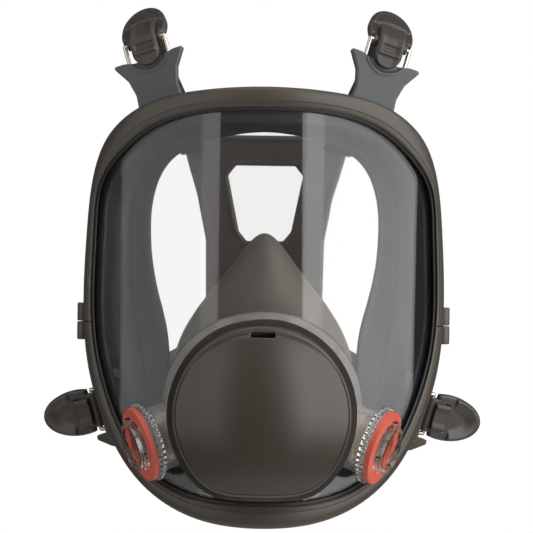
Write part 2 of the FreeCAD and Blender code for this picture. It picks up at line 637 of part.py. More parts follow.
def make_leaf():
    crown = Part.makeCylinder(LEAF_DOME_R, FAR, V(0, 0, LEAF_CROWN - LEAF_DOME_R), V(0, 1, 0))
    dome = leaf_oval(LEAF_T / 2 + LEAF_CROWN).common(crown)
    strap_way = Part.makeBox(2 * FAR, FAR + SLOT_AT, FAR, V(-FAR, -FAR, LEAF_T / 2))
    root = Part.makeBox(2 * BARREL_HALF, LEAF_WIDEST_AT, LEAF_T, V(-BARREL_HALF, 0, -LEAF_T / 2))
    leaf = leaf_oval(LEAF_T).fuse(dome.cut(strap_way)).fuse(root)
    leaf = leaf.fuse(Part.makeCylinder(BARREL_R, 2 * BARREL_HALF, V(-BARREL_HALF, 0, 0), V(1, 0, 0)))
    leaf = leaf.cut(Part.makeCylinder(WIRE_R + PIN_FIT, 2 * FAR, V(-FAR, 0, 0), V(1, 0, 0)))
    half_slot = STRAP_T / 2 + SLOT_GAP
    leaf = leaf.cut(Part.makeBox(2 * STRAP_HALF + 2 * SLOT_GAP, 2 * half_slot, 2 * FAR,
                                 V(-STRAP_HALF - SLOT_GAP, SLOT_AT - half_slot, -FAR)))
    return leaf


def make_strap_loop():
    leg = Part.makeBox(2 * STRAP_HALF, STRAP_T, STRAP_LOW + STRAP_T + LEAF_T / 2 + LOOP_BELOW,
                       V(-STRAP_HALF, SLOT_AT - STRAP_T / 2, -LEAF_T / 2 - LOOP_BELOW))
    run = Part.makeBox(2 * STRAP_HALF, SLOT_AT - LOOP_START + STRAP_T / 2, STRAP_T,
                       V(-STRAP_HALF, LOOP_START, STRAP_LOW))
    return leg.fuse(run)


def make_strap_tail():
    low = TAB_T / 2 + RUN
    plate = Part.makeBox(2 * STRAP_HALF, TAIL_END - STRAP_HALF - TAIL_START, STRAP_T,
                         V(-STRAP_HALF, -TAIL_END + STRAP_HALF, low))
    tip = Part.makeCylinder(STRAP_HALF, STRAP_T, V(0, -TAIL_END + STRAP_HALF, low))
    tip = tip.cut(Part.makeBox(2 * FAR, FAR, FAR, V(-FAR, -TAIL_START, 0)))
    plate = plate.fuse(tip)
    ridge = Part.makeBox(2 * (STRAP_HALF - RIDGE_INSET), RIDGE_WIDTH, RIDGE_HEIGHT,
                         V(RIDGE_INSET - STRAP_HALF, STRAP_HALF - TAIL_END - RIDGE_INSET, low + STRAP_T))
    return plate.fuse(ridge)


def both_sides(half):
    """Full outline from its right-hand half."""
    return half + [(-x, y) for x, y in reversed(half)]


def make_tab(outline, bail_length):
    tab = local_plate(outline, -TAB_T / 2, TAB_T / 2)
    hole = WIRE_R + PIN_FIT
    tab = tab.cut(Part.makeCylinder(hole, 2 * BAIL_HALF, V(-BAIL_HALF, -bail_length, 0), V(1, 0, 0)))
    for side in (1, -1):
        tab = tab.cut(Part.makeSphere(hole, V(side * BAIL_HALF, -bail_length, 0)))
        tab = tab.cut(Part.makeCylinder(hole, FAR, V(side * BAIL_HALF, -bail_length, 0), V(0, 1, 0)))
    return tab


def section(centre, across, through, half, thickness):
    across = across.normalize() * half
    through = (through - across * (through.dot(across) / across.Length ** 2)).normalize()
    through = through * (thickness / 2)
    corners = [centre + across + through, centre - across + through,
               centre - across - through, centre + across - through]
    return Part.makePolygon(corners + [corners[0]])


def make_arm(frame, end, across_end):
    """Rubber arm: straight back out of the leaf's slot, then in one run to the pad."""
    target = V(end[0], PAD_Y, end[1])
    top = -LEAF_T / 2 - LOOP_BELOW - ARM_GAP
    start = frame.point(0, SLOT_AT, top)
    bend = frame.point(0, SLOT_AT, top - ARM_STRAIGHT)
    back = (bend - start).normalize()
    away = (target - bend).normalize()
    third = bend + (target - bend) * ARM_TWIST_AT
    across_start = V(frame.x)
    if across_start.dot(across_end) < 0:
        across_start = across_start * -1
    across_mid = across_start + across_end
    sections = [
        section(start, V(across_start), back.cross(across_start), STRAP_HALF, ARM_T),
        section(bend, V(across_start), (back + away).cross(across_start), STRAP_HALF, ARM_T),
        section(third, V(across_mid), away.cross(across_mid), STRAP_HALF + ARM_FLARE, ARM_T),
        section(target - V(0, FIT / 2, 0), V(across_end), away.cross(across_end), ARM_HALF, ARM_T)]
    arm = Part.makeLoft(sections, True, True)
    pad_side = Part.makeBox(2 * FAR, FAR, 2 * FAR, V(-FAR, PAD_Y - FIT / 2, -FAR))
    return arm.cut(pad_side)


def keep_clear_of_seal(shape):
    wall = prism(seal_half(-RUN), BLANK_FRONT_Y, FACE_SIDE_Y)
    wall = wall.common(upright(FRAME_INNER_R + HEAD_ROOM, SHELL_AXIS_Y))
    frame_zone = prism(grow(FRAME_HALF, RUN), BLANK_FRONT_Y, SHELL_AXIS_Y - 2 * PAST)
    frame_zone = frame_zone.cut(upright(FRAME_INNER_R - RUN, SHELL_AXIS_Y))
    return shape.cut(wall).cut(frame_zone)


def make_pad():
    pad_right = list(PAD_HALF)
    window = list(PAD_WINDOW_HALF)
    outer = pad_right + [(-x, z) for x, z in reversed(pad_right) if x > 0]
    inner = window + [(-x, z) for x, z in reversed(window) if x > 0]
    pad = polygon_prism(outer, PAD_Y, PAD_Y + PAD_T)
    return pad.cut(polygon_prism(inner, PAD_Y - PAD_T, PAD_Y + 2 * PAD_T))


def make_buckle(name, pin, bar, leaf_way, tab_way, bail_length, tab_outline, arm_end, arm_across):
    leaf_frame = LocalFrame(pin, bar, leaf_way)
    tab_frame = LocalFrame(pin, bar, tab_way)
    side = -1 if leaf_frame.z.y > 0 else 1
    if side < 0:
        bar = [-value for value in bar]
        leaf_frame = LocalFrame(pin, bar, leaf_way)
        tab_frame = LocalFrame(pin, bar, tab_way)
    save_pair("bail_" + name, tab_frame.place(make_bail(bail_length)))
    save_pair("buckle_leaf_" + name, leaf_frame.place(make_leaf()))
    save_pair("strap_loop_" + name, leaf_frame.place(make_strap_loop()))
    save_pair("buckle_tab_" + name, keep_clear_of_seal(tab_frame.place(make_tab(tab_outline, bail_length))))
    save_pair("harness_arm_" + name, make_arm(leaf_frame, arm_end, arm_across))
    if name == "upper":
        save_pair("strap_tail_" + name, tab_frame.place(make_strap_tail()))
    print(name, "pin", leaf_frame.origin, "bar", leaf_frame.x, "leaf", leaf_frame.y, "out", leaf_frame.z)


# ---------------------------------------------------------------- build everything

def main():
    save("lens", make_lens())
    save("lens_gasket", make_lens_gasket())
    upper, lower = make_frame()
    save("frame_upper", upper)
    save("frame_lower", lower)
    screws, nuts = make_frame_fasteners()
    save("frame_screws", screws)
    save("frame_nuts", nuts)
    save("face_seal", make_face_seal())
    save("nose_cup", make_nose_cup())
    cup_seat, cup_flap = make_cup_valve()
    save_pair("cup_valve_seat", cup_seat)
    save_pair("cup_valve_flap", cup_flap)
    save("centre_adapter", make_adapter())
    save("adapter_gasket", make_adapter_gasket())
    valve_seat, valve_flap = make_exhalation_valve()
    save("exhalation_valve_seat", valve_seat)
    save("exhalation_valve", valve_flap)
    diaphragm, ring = make_diaphragm()
    save("speaking_diaphragm", diaphragm)
    save("diaphragm_ring", ring)
    save("centre_cover", make_cover())
    spigot, gasket, seat, flap = make_port()
    save_pair("port_spigot", spigot)
    save_pair("port_gasket", gasket)
    save_pair("inhalation_seat", seat)
    save_pair("inhalation_flap", flap)
    save("harness_pad", make_pad())
    make_buckle("upper", UPPER_PIN, UPPER_BAR, UPPER_LEAF, UPPER_TAB, UPPER_BAIL, both_sides(UPPER_TAB_HALF),
                UPPER_ARM_END, V(-1, 0, 0.25))
    make_buckle("lower", LOWER_PIN, LOWER_BAR, LOWER_LEAF, LOWER_TAB, LOWER_BAIL, LOWER_TAB_EDGE,
                LOWER_ARM_END, V(0.3, 0, 1))


main()
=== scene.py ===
"""Looks of a full-face respirator facepiece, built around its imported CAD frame.

Sizes are in millimetres in the classes below and become metres where meshes are made. The wearer looks
along -Y, +Z is up, and +X is to the right as seen from the front.
"""

from __future__ import annotations

import logging
import math
from collections.abc import Callable, Sequence
from dataclasses import dataclass, field
from enum import Enum

import bmesh
import bpy
import numpy as np
from mathutils import Matrix, Vector


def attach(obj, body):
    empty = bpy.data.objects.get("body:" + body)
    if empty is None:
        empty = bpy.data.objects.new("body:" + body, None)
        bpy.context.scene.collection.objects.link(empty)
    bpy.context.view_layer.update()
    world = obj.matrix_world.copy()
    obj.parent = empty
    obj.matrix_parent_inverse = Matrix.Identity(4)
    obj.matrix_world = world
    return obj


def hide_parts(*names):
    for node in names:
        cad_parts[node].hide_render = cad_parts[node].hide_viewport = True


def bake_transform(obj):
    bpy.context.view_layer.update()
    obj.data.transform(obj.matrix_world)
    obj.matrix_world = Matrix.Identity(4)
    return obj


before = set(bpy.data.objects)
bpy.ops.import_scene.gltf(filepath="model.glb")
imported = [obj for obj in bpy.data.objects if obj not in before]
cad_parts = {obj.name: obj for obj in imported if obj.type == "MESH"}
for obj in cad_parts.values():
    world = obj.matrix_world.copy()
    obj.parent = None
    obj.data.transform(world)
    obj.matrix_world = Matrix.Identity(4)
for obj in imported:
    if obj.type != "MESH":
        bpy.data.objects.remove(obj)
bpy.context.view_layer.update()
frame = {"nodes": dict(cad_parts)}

log = logging.getLogger("respirator")

MM = 0.001
SPAN_SAMPLES = 24
SHARP_EDGE_DEG = 40
# Pointiness of a flat face and of an edge that hands have burnished.
FLAT_TO_EDGE = (0.515, 0.58)
# Where nearly all of a noise pattern's values lie.
NOISE_RANGE = (0.3, 0.7)
Pair = tuple[float, float]
Depth = Callable[[float, float], float]


class Side(Enum):
    """Which side of the mask a piece is on, as seen from the front."""

    LEFT = -1
    RIGHT = 1

    @property
    def label(self) -> str:
        """The side's word in node names."""
        return self.name.lower()


class Corner(Enum):
    """Which row of buckles a piece belongs to."""

    UPPER = "upper"
    LOWER = "lower"


# ------------------------------------------------------------------ colour and shader helpers


def linear(hex_colour: str) -> tuple[float, float, float, float]:
    """Turns an sRGB hex colour into the linear colour that shaders use.

    Args:
        hex_colour: Six hex digits after a hash, such as "#3a342e".

    Returns:
        Linear red, green, blue and an alpha of 1.
    """
    channels = [int(hex_colour[i : i + 2], 16) / 255 for i in (1, 3, 5)]
    lin = [c / 12.92 if c <= 0.04045 else ((c + 0.055) / 1.055) ** 2.4 for c in channels]
    return (lin[0], lin[1], lin[2], 1.0)


def add_node(tree: bpy.types.NodeTree, kind: str, inputs: dict | None = None, **settings) -> bpy.types.Node:
    """Adds a shader node with its settings and links.

    Args:
        tree: The node tree to add to.
        kind: The node's Blender type name.
        inputs: Input name or index to a value, or to an output socket to link from.
        **settings: Attributes of the node itself.

    Returns:
        The new node.
    """
    node = tree.nodes.new(kind)
    for key, value in settings.items():
        setattr(node, key, value)
    for key, value in (inputs or {}).items():
        if isinstance(value, bpy.types.NodeSocket):
            tree.links.new(value, node.inputs[key])
        else:
            node.inputs[key].default_value = value
    return node


def per_metre(size_mm: float) -> float:
    """Texture scale that gives features of a size in millimetres on object coordinates."""
    return 1 / (size_mm * MM)


def new_material(name: str) -> tuple[bpy.types.Material, bpy.types.NodeTree]:
    """An empty node material and its tree."""
    material = bpy.data.materials.new(name)
    material.use_nodes = True
    material.node_tree.nodes.clear()
    return material, material.node_tree


@dataclass(frozen=True)
class Moulding:
    """A moulded polymer or rubber surface.

    Large soft patches of tone come from flow and handling, and the fine bump is the eroded grain of the
    mould. Raised edges are burnished lighter by handling.
    """

    name: str
    colour: str
    patch_colour: str
    edge_colour: str
    roughness: float
    grain_mm: float
    grain_height_mm: float
    patch_mm: float = 22.0
    edge_share: float = 0.35
    specular: float = 0.5
    sheen: float = 0.0
    coat: float = 0.0
    roughness_spread: float = 0.05
    grain_strength: float = 0.6

    def material(self) -> bpy.types.Material:
        """Builds the node material."""
        material, tree = new_material(self.name)
        place = add_node(tree, "ShaderNodeTexCoord").outputs["Object"]
        patches = add_node(
            tree, "ShaderNodeTexNoise", {"Vector": place, "Scale": per_metre(self.patch_mm), "Detail": 4.0}
        )
        grain = add_node(
            tree, "ShaderNodeTexNoise", {"Vector": place, "Scale": per_metre(self.grain_mm), "Detail": 3.0}
        )
        tone = add_node(
            tree,
            "ShaderNodeMix",
            {"Factor": patches.outputs["Fac"], "A": linear(self.colour), "B": linear(self.patch_colour)},
            data_type="RGBA",
        )
        point = add_node(tree, "ShaderNodeNewGeometry").outputs["Pointiness"]
        edge = add_node(
            tree,
            "ShaderNodeMapRange",
            {
                "Value": point,
                "From Min": FLAT_TO_EDGE[0],
                "From Max": FLAT_TO_EDGE[1],
                "To Min": 0.0,
                "To Max": self.edge_share,
            },
        )
        colour = add_node(
            tree,
            "ShaderNodeMix",
            {"Factor": edge.outputs[0], "A": tone.outputs["Result"], "B": linear(self.edge_colour)},
            data_type="RGBA",
        )
        rough = add_node(
            tree,
            "ShaderNodeMapRange",
            {
                "Value": grain.outputs["Fac"],
                "From Min": NOISE_RANGE[0],
                "From Max": NOISE_RANGE[1],
                "To Min": self.roughness - self.roughness_spread,
                "To Max": self.roughness + self.roughness_spread,
            },
        )
        bump = add_node(
            tree,
            "ShaderNodeBump",
            {
                "Height": grain.outputs["Fac"],
                "Distance": self.grain_height_mm * MM,
                "Strength": self.grain_strength,
            },
        )
        surface = add_node(
            tree,
            "ShaderNodeBsdfPrincipled",
            {
                "Base Color": colour.outputs["Result"],
                "Roughness": rough.outputs[0],
                "Normal": bump.outputs["Normal"],
                "Specular IOR Level": self.specular,
                "Sheen Weight": self.sheen,
                "Coat Weight": self.coat,
            },
        )
        add_node(tree, "ShaderNodeOutputMaterial", {"Surface": surface.outputs[0]})
        return material


@dataclass(frozen=True)
class ClearPlastic:
    """Injection-moulded clear polycarbonate, polished in the mould.

    It shows what is behind it and mirrors lamps sharply, with a faint warm-grey tint along its length. Lamps
    shine through it, so that what it covers is lit. The part of it that stands out past the pane gets a pale
    satin
    layer of painted glare: its pale colour stands in for the lamps' glare there.
    """

    name: str
    tint: str
    roughness: float = 0.03
    ior: float = 1.585
    ripple_mm: float = 45.0
    ripple_height_mm: float = 0.05
    ripple_strength: float = 0.3
    glare_roughness: float = 0.3
    glare_haze: float = 0.0
    painted_glare_colour: str = "#a09d99"
    glare_from_mm: Pair = (105.0, 107.5)
    glare_axis_y_mm: float = 24.0

    def glare_share(self, tree: bpy.types.NodeTree, place: bpy.types.NodeSocket) -> bpy.types.NodeSocket:
        """Share of the painted glare layer: none on the pane, and full on the cone that stands out in front
        of it.
        """
        axis = (0.0, self.glare_axis_y_mm * MM, 0.0)
        moved = add_node(tree, "ShaderNodeVectorMath", {0: place, 1: axis}, operation="SUBTRACT")
        level = add_node(
            tree,
            "ShaderNodeVectorMath",
            {0: moved.outputs[0], 1: (1.0, 1.0, 0.0)},
            operation="MULTIPLY",
        )
        reach = add_node(tree, "ShaderNodeVectorMath", {0: level.outputs[0]}, operation="LENGTH")
        low, high = self.glare_from_mm
        share = add_node(
            tree,
            "ShaderNodeMapRange",
            {
                "Value": reach.outputs["Value"],
                "From Min": low * MM,
                "From Max": high * MM,
                "To Max": self.glare_haze,
            },
        )
        return share.outputs[0]

    def material(self) -> bpy.types.Material:
        """Builds the node material."""
        material, tree = new_material(self.name)
        place = add_node(tree, "ShaderNodeTexCoord").outputs["Object"]
        ripple = add_node(
            tree, "ShaderNodeTexNoise", {"Vector": place, "Scale": per_metre(self.ripple_mm), "Detail": 1.0}
        )
        bump = add_node(
            tree,
            "ShaderNodeBump",
            {
                "Height": ripple.outputs["Fac"],
                "Distance": self.ripple_height_mm * MM,
                "Strength": self.ripple_strength,
            },
        )
        clear = add_node(
            tree,
            "ShaderNodeBsdfPrincipled",
            {
                "Base Color": linear(self.tint),
                "Roughness": self.roughness,
                "Transmission Weight": 1.0,
                "IOR": self.ior,
                "Normal": bump.outputs["Normal"],
            },
        )
        body = clear.outputs[0]
        # The cone's pale satin layer is painted glare.
        if self.glare_haze > 0:
            glare_satin = add_node(
                tree,
                "ShaderNodeBsdfPrincipled",
                {"Base Color": linear(self.painted_glare_colour), "Roughness": self.glare_roughness},
            )
            body = add_node(
                tree, "ShaderNodeMixShader", {0: self.glare_share(tree, place), 1: body, 2: glare_satin.outputs[0]}
            ).outputs[0]
        through = add_node(tree, "ShaderNodeBsdfTransparent", {"Color": linear(self.tint)})
        lamp = add_node(tree, "ShaderNodeLightPath").outputs["Is Shadow Ray"]
        mix = add_node(tree, "ShaderNodeMixShader", {0: lamp, 1: body, 2: through.outputs[0]})
        add_node(tree, "ShaderNodeOutputMaterial", {"Surface": mix.outputs[0]})
        return material


@dataclass(frozen=True)
class DrawnSteel:
    """Bright drawn stainless wire: a mirror-like metal with fine streaks along the draw."""

    name: str
    colour: str = "#d2cabb"
    roughness: float = 0.22
    streak_mm: float = 0.6
    roughness_below: float = 0.08
    roughness_above: float = 0.1

    def material(self) -> bpy.types.Material:
        """Builds the node material."""
        material, tree = new_material(self.name)
        place = add_node(tree, "ShaderNodeTexCoord").outputs["Object"]
        streaks = add_node(
            tree, "ShaderNodeTexNoise", {"Vector": place, "Scale": per_metre(self.streak_mm), "Detail": 2.0}
        )
        rough = add_node(
            tree,
            "ShaderNodeMapRange",
            {
                "Value": streaks.outputs["Fac"],
                "To Min": self.roughness - self.roughness_below,
                "To Max": self.roughness + self.roughness_above,
            },
        )
        surface = add_node(
            tree,
            "ShaderNodeBsdfPrincipled",
            {"Base Color": linear(self.colour), "Metallic": 1.0, "Roughness": rough.outputs[0]},
        )
        add_node(tree, "ShaderNodeOutputMaterial", {"Surface": surface.outputs[0]})
        return material


class Finishes:
    """Every finish on the mask, each built once."""

    def __init__(self) -> None:
        """Builds the materials."""
        # Glass-filled nylon, eroded mould: a dull olive-brown with a broad soft highlight.
        self.frame_nylon = Moulding(
            "glass_filled_nylon_frame", "#3b342d", "#413a32", "#6a6156", 0.42, 0.5, 0.02
        ).material()
        self.cover_nylon = Moulding(
            "glass_filled_nylon_cover", "#332c25", "#383129", "#70675c", 0.35, 0.45, 0.008, patch_mm=30
        ).material()
        self.buckle_nylon = Moulding(
            "moulded_nylon_buckle", "#37322d", "#3e3832", "#67605a", 0.36, 0.5, 0.012, patch_mm=12
        ).material()
        self.adapter_nylon = Moulding(
            "moulded_nylon_adapter", "#2c2824", "#332e29", "#59524b", 0.4, 0.5, 0.012
        ).material()
        # Liquid silicone rubber: bluish grey and satin, with a soft bloom at grazing angles.
        self.seal_silicone = Moulding(
            "liquid_silicone_seal", "#393c3f", "#3f4245", "#6b6e70", 0.44, 0.7, 0.01, sheen=0.1
        ).material()
        # The same silicone inside the visor, in darker colours that paint the shade that the frame casts
        # there.
        self.funnel_silicone_painted_shade = Moulding(
            "liquid_silicone_funnel_painted_shade", "#232528", "#27292c", "#3c3e41", 0.5, 0.7, 0.004,
            patch_mm=45, specular=0.3,
        ).material()  # fmt: skip
        self.cup_silicone = Moulding(
            "liquid_silicone_nose_cup", "#433d37", "#49433c", "#7d766d", 0.42, 0.7, 0.01, sheen=0.1
        ).material()
        # Moulded harness rubber: darker and duller than the silicone.
        self.harness_rubber = Moulding(
            "moulded_harness_rubber", "#322c29", "#3a3431", "#5a524d", 0.5, 0.6, 0.02, patch_mm=14
        ).material()
        self.black_rubber = Moulding(
            "black_nitrile_rubber", "#121212", "#171717", "#2c2c2c", 0.5, 0.5, 0.01
        ).material()
        # Red gasket rubber: matte, bright on its face and deep at the rim where light doesn't reach.
        self.red_rubber = Moulding(
            "red_silicone_gasket", "#b8402f", "#c24a38", "#d8705c", 0.5, 0.5, 0.02, patch_mm=8
        ).material()
        self.valve_rubber = Moulding(
            "natural_latex_flap", "#b59c78", "#bca482", "#d2bfa2", 0.45, 0.5, 0.01, patch_mm=6
        ).material()
        self.tan_nylon = Moulding(
            "natural_acetal_seat", "#a98c66", "#b0946f", "#c9b394", 0.4, 0.5, 0.01, patch_mm=10
        ).material()
        self.film = Moulding(
            "polyimide_diaphragm", "#8a7350", "#937c58", "#a89270", 0.25, 0.6, 0.01, patch_mm=8
        ).material()
        # Hard-coated pane: the coat halves its mirror reflection, and the cone has a pale satin layer of
        # painted glare.
        self.visor = ClearPlastic("clear_polycarbonate_visor", "#f4f4f3", ior=1.38, glare_haze=0.35).material()
        self.spigot = ClearPlastic(
            "clear_polycarbonate_spigot", "#efeeec", roughness=0.06, ripple_mm=3.0, ripple_height_mm=0.25
        ).material()
        self.steel = DrawnSteel("drawn_stainless_wire").material()


# ------------------------------------------------------------------ mesh helpers


def spline_samples(points: np.ndarray, per_span: int = SPAN_SAMPLES) -> np.ndarray:
    """Samples a closed smooth cubic curve through points.

    Args:
        points: The points, one row each, the last one joined to the first.
        per_span: Samples between two neighbouring points.

    Returns:
        The samples, one row each.
    """
    count = len(points)
    ahead = np.roll(points, -1, axis=0)
    span = np.linalg.norm(ahead - points, axis=1)
    system = np.zeros((count, count))
    right = np.zeros_like(points)
    for i in range(count):
        before = (i - 1) % count
        system[i, before] += span[before]
        system[i, i] += 2 * (span[before] + span[i])
        system[i, (i + 1) % count] += span[i]
        right[i] = 6 * (
            (ahead[i] - points[i]) / span[i] - (points[i] - points[before]) / span[before]
        )
    bend = np.linalg.solve(system, right)
    bend_ahead = np.roll(bend, -1, axis=0)
    rows = []
    for i in range(count):
        for step in range(per_span):
            t = span[i] * step / per_span
            u = span[i] - t
            rows.append(
                (bend[i] * u**3 + bend_ahead[i] * t**3) / (6 * span[i])
                + (points[i] / span[i] - bend[i] * span[i] / 6) * u
                + (ahead[i] / span[i] - bend_ahead[i] * span[i] / 6) * t
            )
    return np.array(rows)


LOOP_COUNT = 192


def smooth_loop(half: Sequence[Pair], count: int = LOOP_COUNT) -> np.ndarray:
    """Points on the closed smooth curve through a half outline and its mirror image.

    Args:
        half: Points (x, z) from the top middle down the right-hand side to the bottom middle.
        count: How many points to return, an even number.

    Returns:
        Rows (x, z), evenly spaced, from the top middle clockwise.
    """
    right = [list(p) for p in half]
    left = [[-x, z] for x, z in reversed(half[1:-1])]
    dense = spline_samples(np.array(right + left))
    bottom = SPAN_SAMPLES * (len(half) - 1)
    run = dense[: bottom + 1]
    steps = np.concatenate([[0], np.cumsum(np.linalg.norm(np.diff(run, axis=0), axis=1))])
    even = np.linspace(0, steps[-1], count // 2 + 1)
    side = np.column_stack([np.interp(even, steps, run[:, 0]), np.interp(even, steps, run[:, 1])])
    other = side[1:-1][::-1] * np.array([-1, 1])
    return np.vstack([side, other])


def grow(half: Sequence[Pair], distance: float) -> list[Pair]:
    """The half outline moved outwards by a distance in millimetres."""
    moved: list[Pair] = []
    last = len(half) - 1
    for index, (x, z) in enumerate(half):
        if index in (0, last):
            moved.append((0.0, z + (distance if index == 0 else -distance)))
            continue
        run_x = half[index + 1][0] - half[index - 1][0]
        run_z = half[index + 1][1] - half[index - 1][1]
        length = math.hypot(run_x, run_z)
        moved.append((x - run_z / length * distance, z + run_x / length * distance))
    return moved


def on_round(radius: float, axis_y: float, furthest: float = 12.0) -> Depth:
    """Depth of the front of an upright round shell, no further back than a limit."""

    def depth(x: float, _z: float) -> float:
        """The depth at one place."""
        low = (axis_y - furthest) ** 2 if axis_y > furthest else 0.0
        return axis_y - math.sqrt(max(radius**2 - x**2, low))

    return depth


def flat(y: float) -> Depth:
    """The same depth everywhere."""
    return lambda _x, _z: y


def ring(loop: np.ndarray, depth: Depth) -> list[Vector]:
    """A loop of points in space from a flat loop and its depth, in millimetres."""
    return [Vector((x, depth(x, z), z)) for x, z in loop]


def between(first: list[Vector], second: list[Vector], share: float) -> list[Vector]:
    """The loop part of the way from one loop to another."""
    return [a.lerp(b, share) for a, b in zip(first, second)]


def new_object(name: str, points: Sequence[Vector], faces: Sequence[Sequence[int]]) -> bpy.types.Object:
    """A mesh object from points in millimetres, shaded smooth."""
    mesh = bpy.data.meshes.new(name)
    mesh.from_pydata([tuple(p * MM) for p in points], [], [tuple(f) for f in faces])
    mesh.validate()
    body = bmesh.new()
    body.from_mesh(mesh)
    bmesh.ops.remove_doubles(body, verts=body.verts, dist=1e-7)
    bmesh.ops.recalc_face_normals(body, faces=body.faces)
    body.to_mesh(mesh)
    body.free()
    mesh.polygons.foreach_set("use_smooth", [True] * len(mesh.polygons))
    made = bpy.data.objects.new(name, mesh)
    bpy.context.scene.collection.objects.link(made)
    return made


def loft(
    name: str,
    loops: Sequence[Sequence[Vector]],
    closed: bool = False,
    tips: tuple[Vector | None, Vector | None] = (None, None),
) -> bpy.types.Object:
    """Skins a run of loops that all have the same number of points.

    Args:
        name: The object's name.
        loops: The loops, in millimetres.
        closed: Joins the last loop to the first, for a ring with a closed section.
        tips: Points that close the first and the last loop, as at the top of a dome.

    Returns:
        The object.
    """
    count = len(loops[0])
    points = [p for loop in loops for p in loop]
    faces = []
    for level in range(len(loops) if closed else len(loops) - 1):
        here = level * count
        there = (level + 1) % len(loops) * count
        for i in range(count):
            j = (i + 1) % count
            faces.append((here + i, here + j, there + j, there + i))
    for tip, level in zip(tips, (0, len(loops) - 1)):
        if tip is not None:
            points.append(tip)
            here = level * count
            faces.extend((here + i, here + (i + 1) % count, len(points) - 1) for i in range(count))
    return new_object(name, points, faces)


def edit_mesh(piece: bpy.types.Object, change: Callable[[bmesh.types.BMesh], None]) -> bpy.types.Object:
    """Runs a change on a piece's mesh, then makes its normals consistent and its shading smooth."""
    body = bmesh.new()
    body.from_mesh(piece.data)
    change(body)
    bmesh.ops.recalc_face_normals(body, faces=body.faces)
    body.to_mesh(piece.data)
    body.free()
    piece.data.polygons.foreach_set("use_smooth", [True] * len(piece.data.polygons))
    return piece


def cap_ends(piece: bpy.types.Object) -> bpy.types.Object:
    """Closes the open edges of a piece."""

    def fill(body: bmesh.types.BMesh) -> None:
        """Fills each open edge loop."""
        bmesh.ops.holes_fill(body, edges=[e for e in body.edges if e.is_boundary])

    return edit_mesh(piece, fill)


def keep_side(piece: bpy.types.Object, z_mm: float, above: bool) -> bpy.types.Object:
    """Cuts a piece at a height and keeps the part above or below it, closed at the cut."""

    def cut(body: bmesh.types.BMesh) -> None:
        """Cuts and fills."""
        bmesh.ops.bisect_plane(
            body,
            geom=[*body.verts, *body.edges, *body.faces],
            plane_co=(0, 0, z_mm * MM),
            plane_no=(0, 0, 1),
            clear_inner=above,
            clear_outer=not above,
        )
        bmesh.ops.holes_fill(body, edges=[e for e in body.edges if e.is_boundary])

    return edit_mesh(piece, cut)


def carve(piece: bpy.types.Object, cutters: Sequence[bpy.types.Object]) -> bpy.types.Object:
    """Cuts other shapes out of a piece and removes them."""
    for cutter in cutters:
        modifier = piece.modifiers.new("cut", "BOOLEAN")
        modifier.operation = "DIFFERENCE"
        modifier.solver = "EXACT"
        modifier.object = cutter
    bpy.context.view_layer.update()
    cut = bpy.data.meshes.new_from_object(piece.evaluated_get(bpy.context.evaluated_depsgraph_get()))
    piece.modifiers.clear()
    old = piece.data
    piece.data = cut
    bpy.data.meshes.remove(old)
    for cutter in cutters:
        bpy.data.objects.remove(cutter, do_unlink=True)
    return piece


def turned(
    name: str,
    axes: Axes,
    profile: Sequence[tuple[float, float]],
    count: int = 48,
    wave: Callable[[float, int], float] | None = None,
) -> bpy.types.Object:
    """A ring turned round an axis.

    Args:
        name: The object's name.
        axes: Its axes, turned round z.
        profile: The closed section as (radius, height) pairs.
        count: Points round the ring.
        wave: Extra radius for an angle and a profile point.

    Returns:
        The object.
    """
    loops = []
    for index, (radius, height) in enumerate(profile):
        loop = []
        for i in range(count):
            turn = math.tau * i / count
            far = radius + (wave(turn, index) if wave else 0.0)
            loop.append(axes.point(far * math.cos(turn), far * math.sin(turn), height))
        loops.append(loop)
    return loft(name, loops, closed=True)


def prism(name: str, outline: Sequence[Vector], way: Vector) -> bpy.types.Object:
    """A solid from a flat outline pushed along a direction."""
    return cap_ends(loft(name, [list(outline), [p + way for p in outline]]))


def rounded_box_outline(axes: Axes, half_x: float, half_y: float, radius: float) -> list[Vector]:
    """A rectangle with round corners on some axes' x and y."""
    points = []
    for quarter, (sx, sy) in enumerate(((1, 1), (-1, 1), (-1, -1), (1, -1))):
        for step in range(7):
            turn = math.pi / 2 * (quarter + step / 6)
            x = sx * (half_x - radius) + radius * math.cos(turn)
            y = sy * (half_y - radius) + radius * math.sin(turn)
            points.append(axes.point(x, y, 0))
    return points


def soften_edges(piece: bpy.types.Object, width_mm: float, segments: int = 2) -> bpy.types.Object:
    """Rounds the sharp edges of a moulded shape."""
    modifier = piece.modifiers.new("edge_radius", "BEVEL")
    modifier.width = width_mm * MM
    modifier.segments = segments
    modifier.limit_method = "ANGLE"
    modifier.angle_limit = math.radians(SHARP_EDGE_DEG)
    modifier.harden_normals = False
    modifier.use_clamp_overlap = True
    return piece


def join(name: str, pieces: Sequence[bpy.types.Object]) -> bpy.types.Object:
    """Joins meshes that have no modifiers into one object."""
    whole = bmesh.new()
    for piece in pieces:
        whole.from_mesh(piece.data)
    mesh = bpy.data.meshes.new(name)
    whole.to_mesh(mesh)
    whole.free()
    mesh.polygons.foreach_set("use_smooth", [True] * len(mesh.polygons))
    for piece in pieces:
        bpy.data.objects.remove(piece, do_unlink=True)
    made = bpy.data.objects.new(name, mesh)
    bpy.context.scene.collection.objects.link(made)
    return made


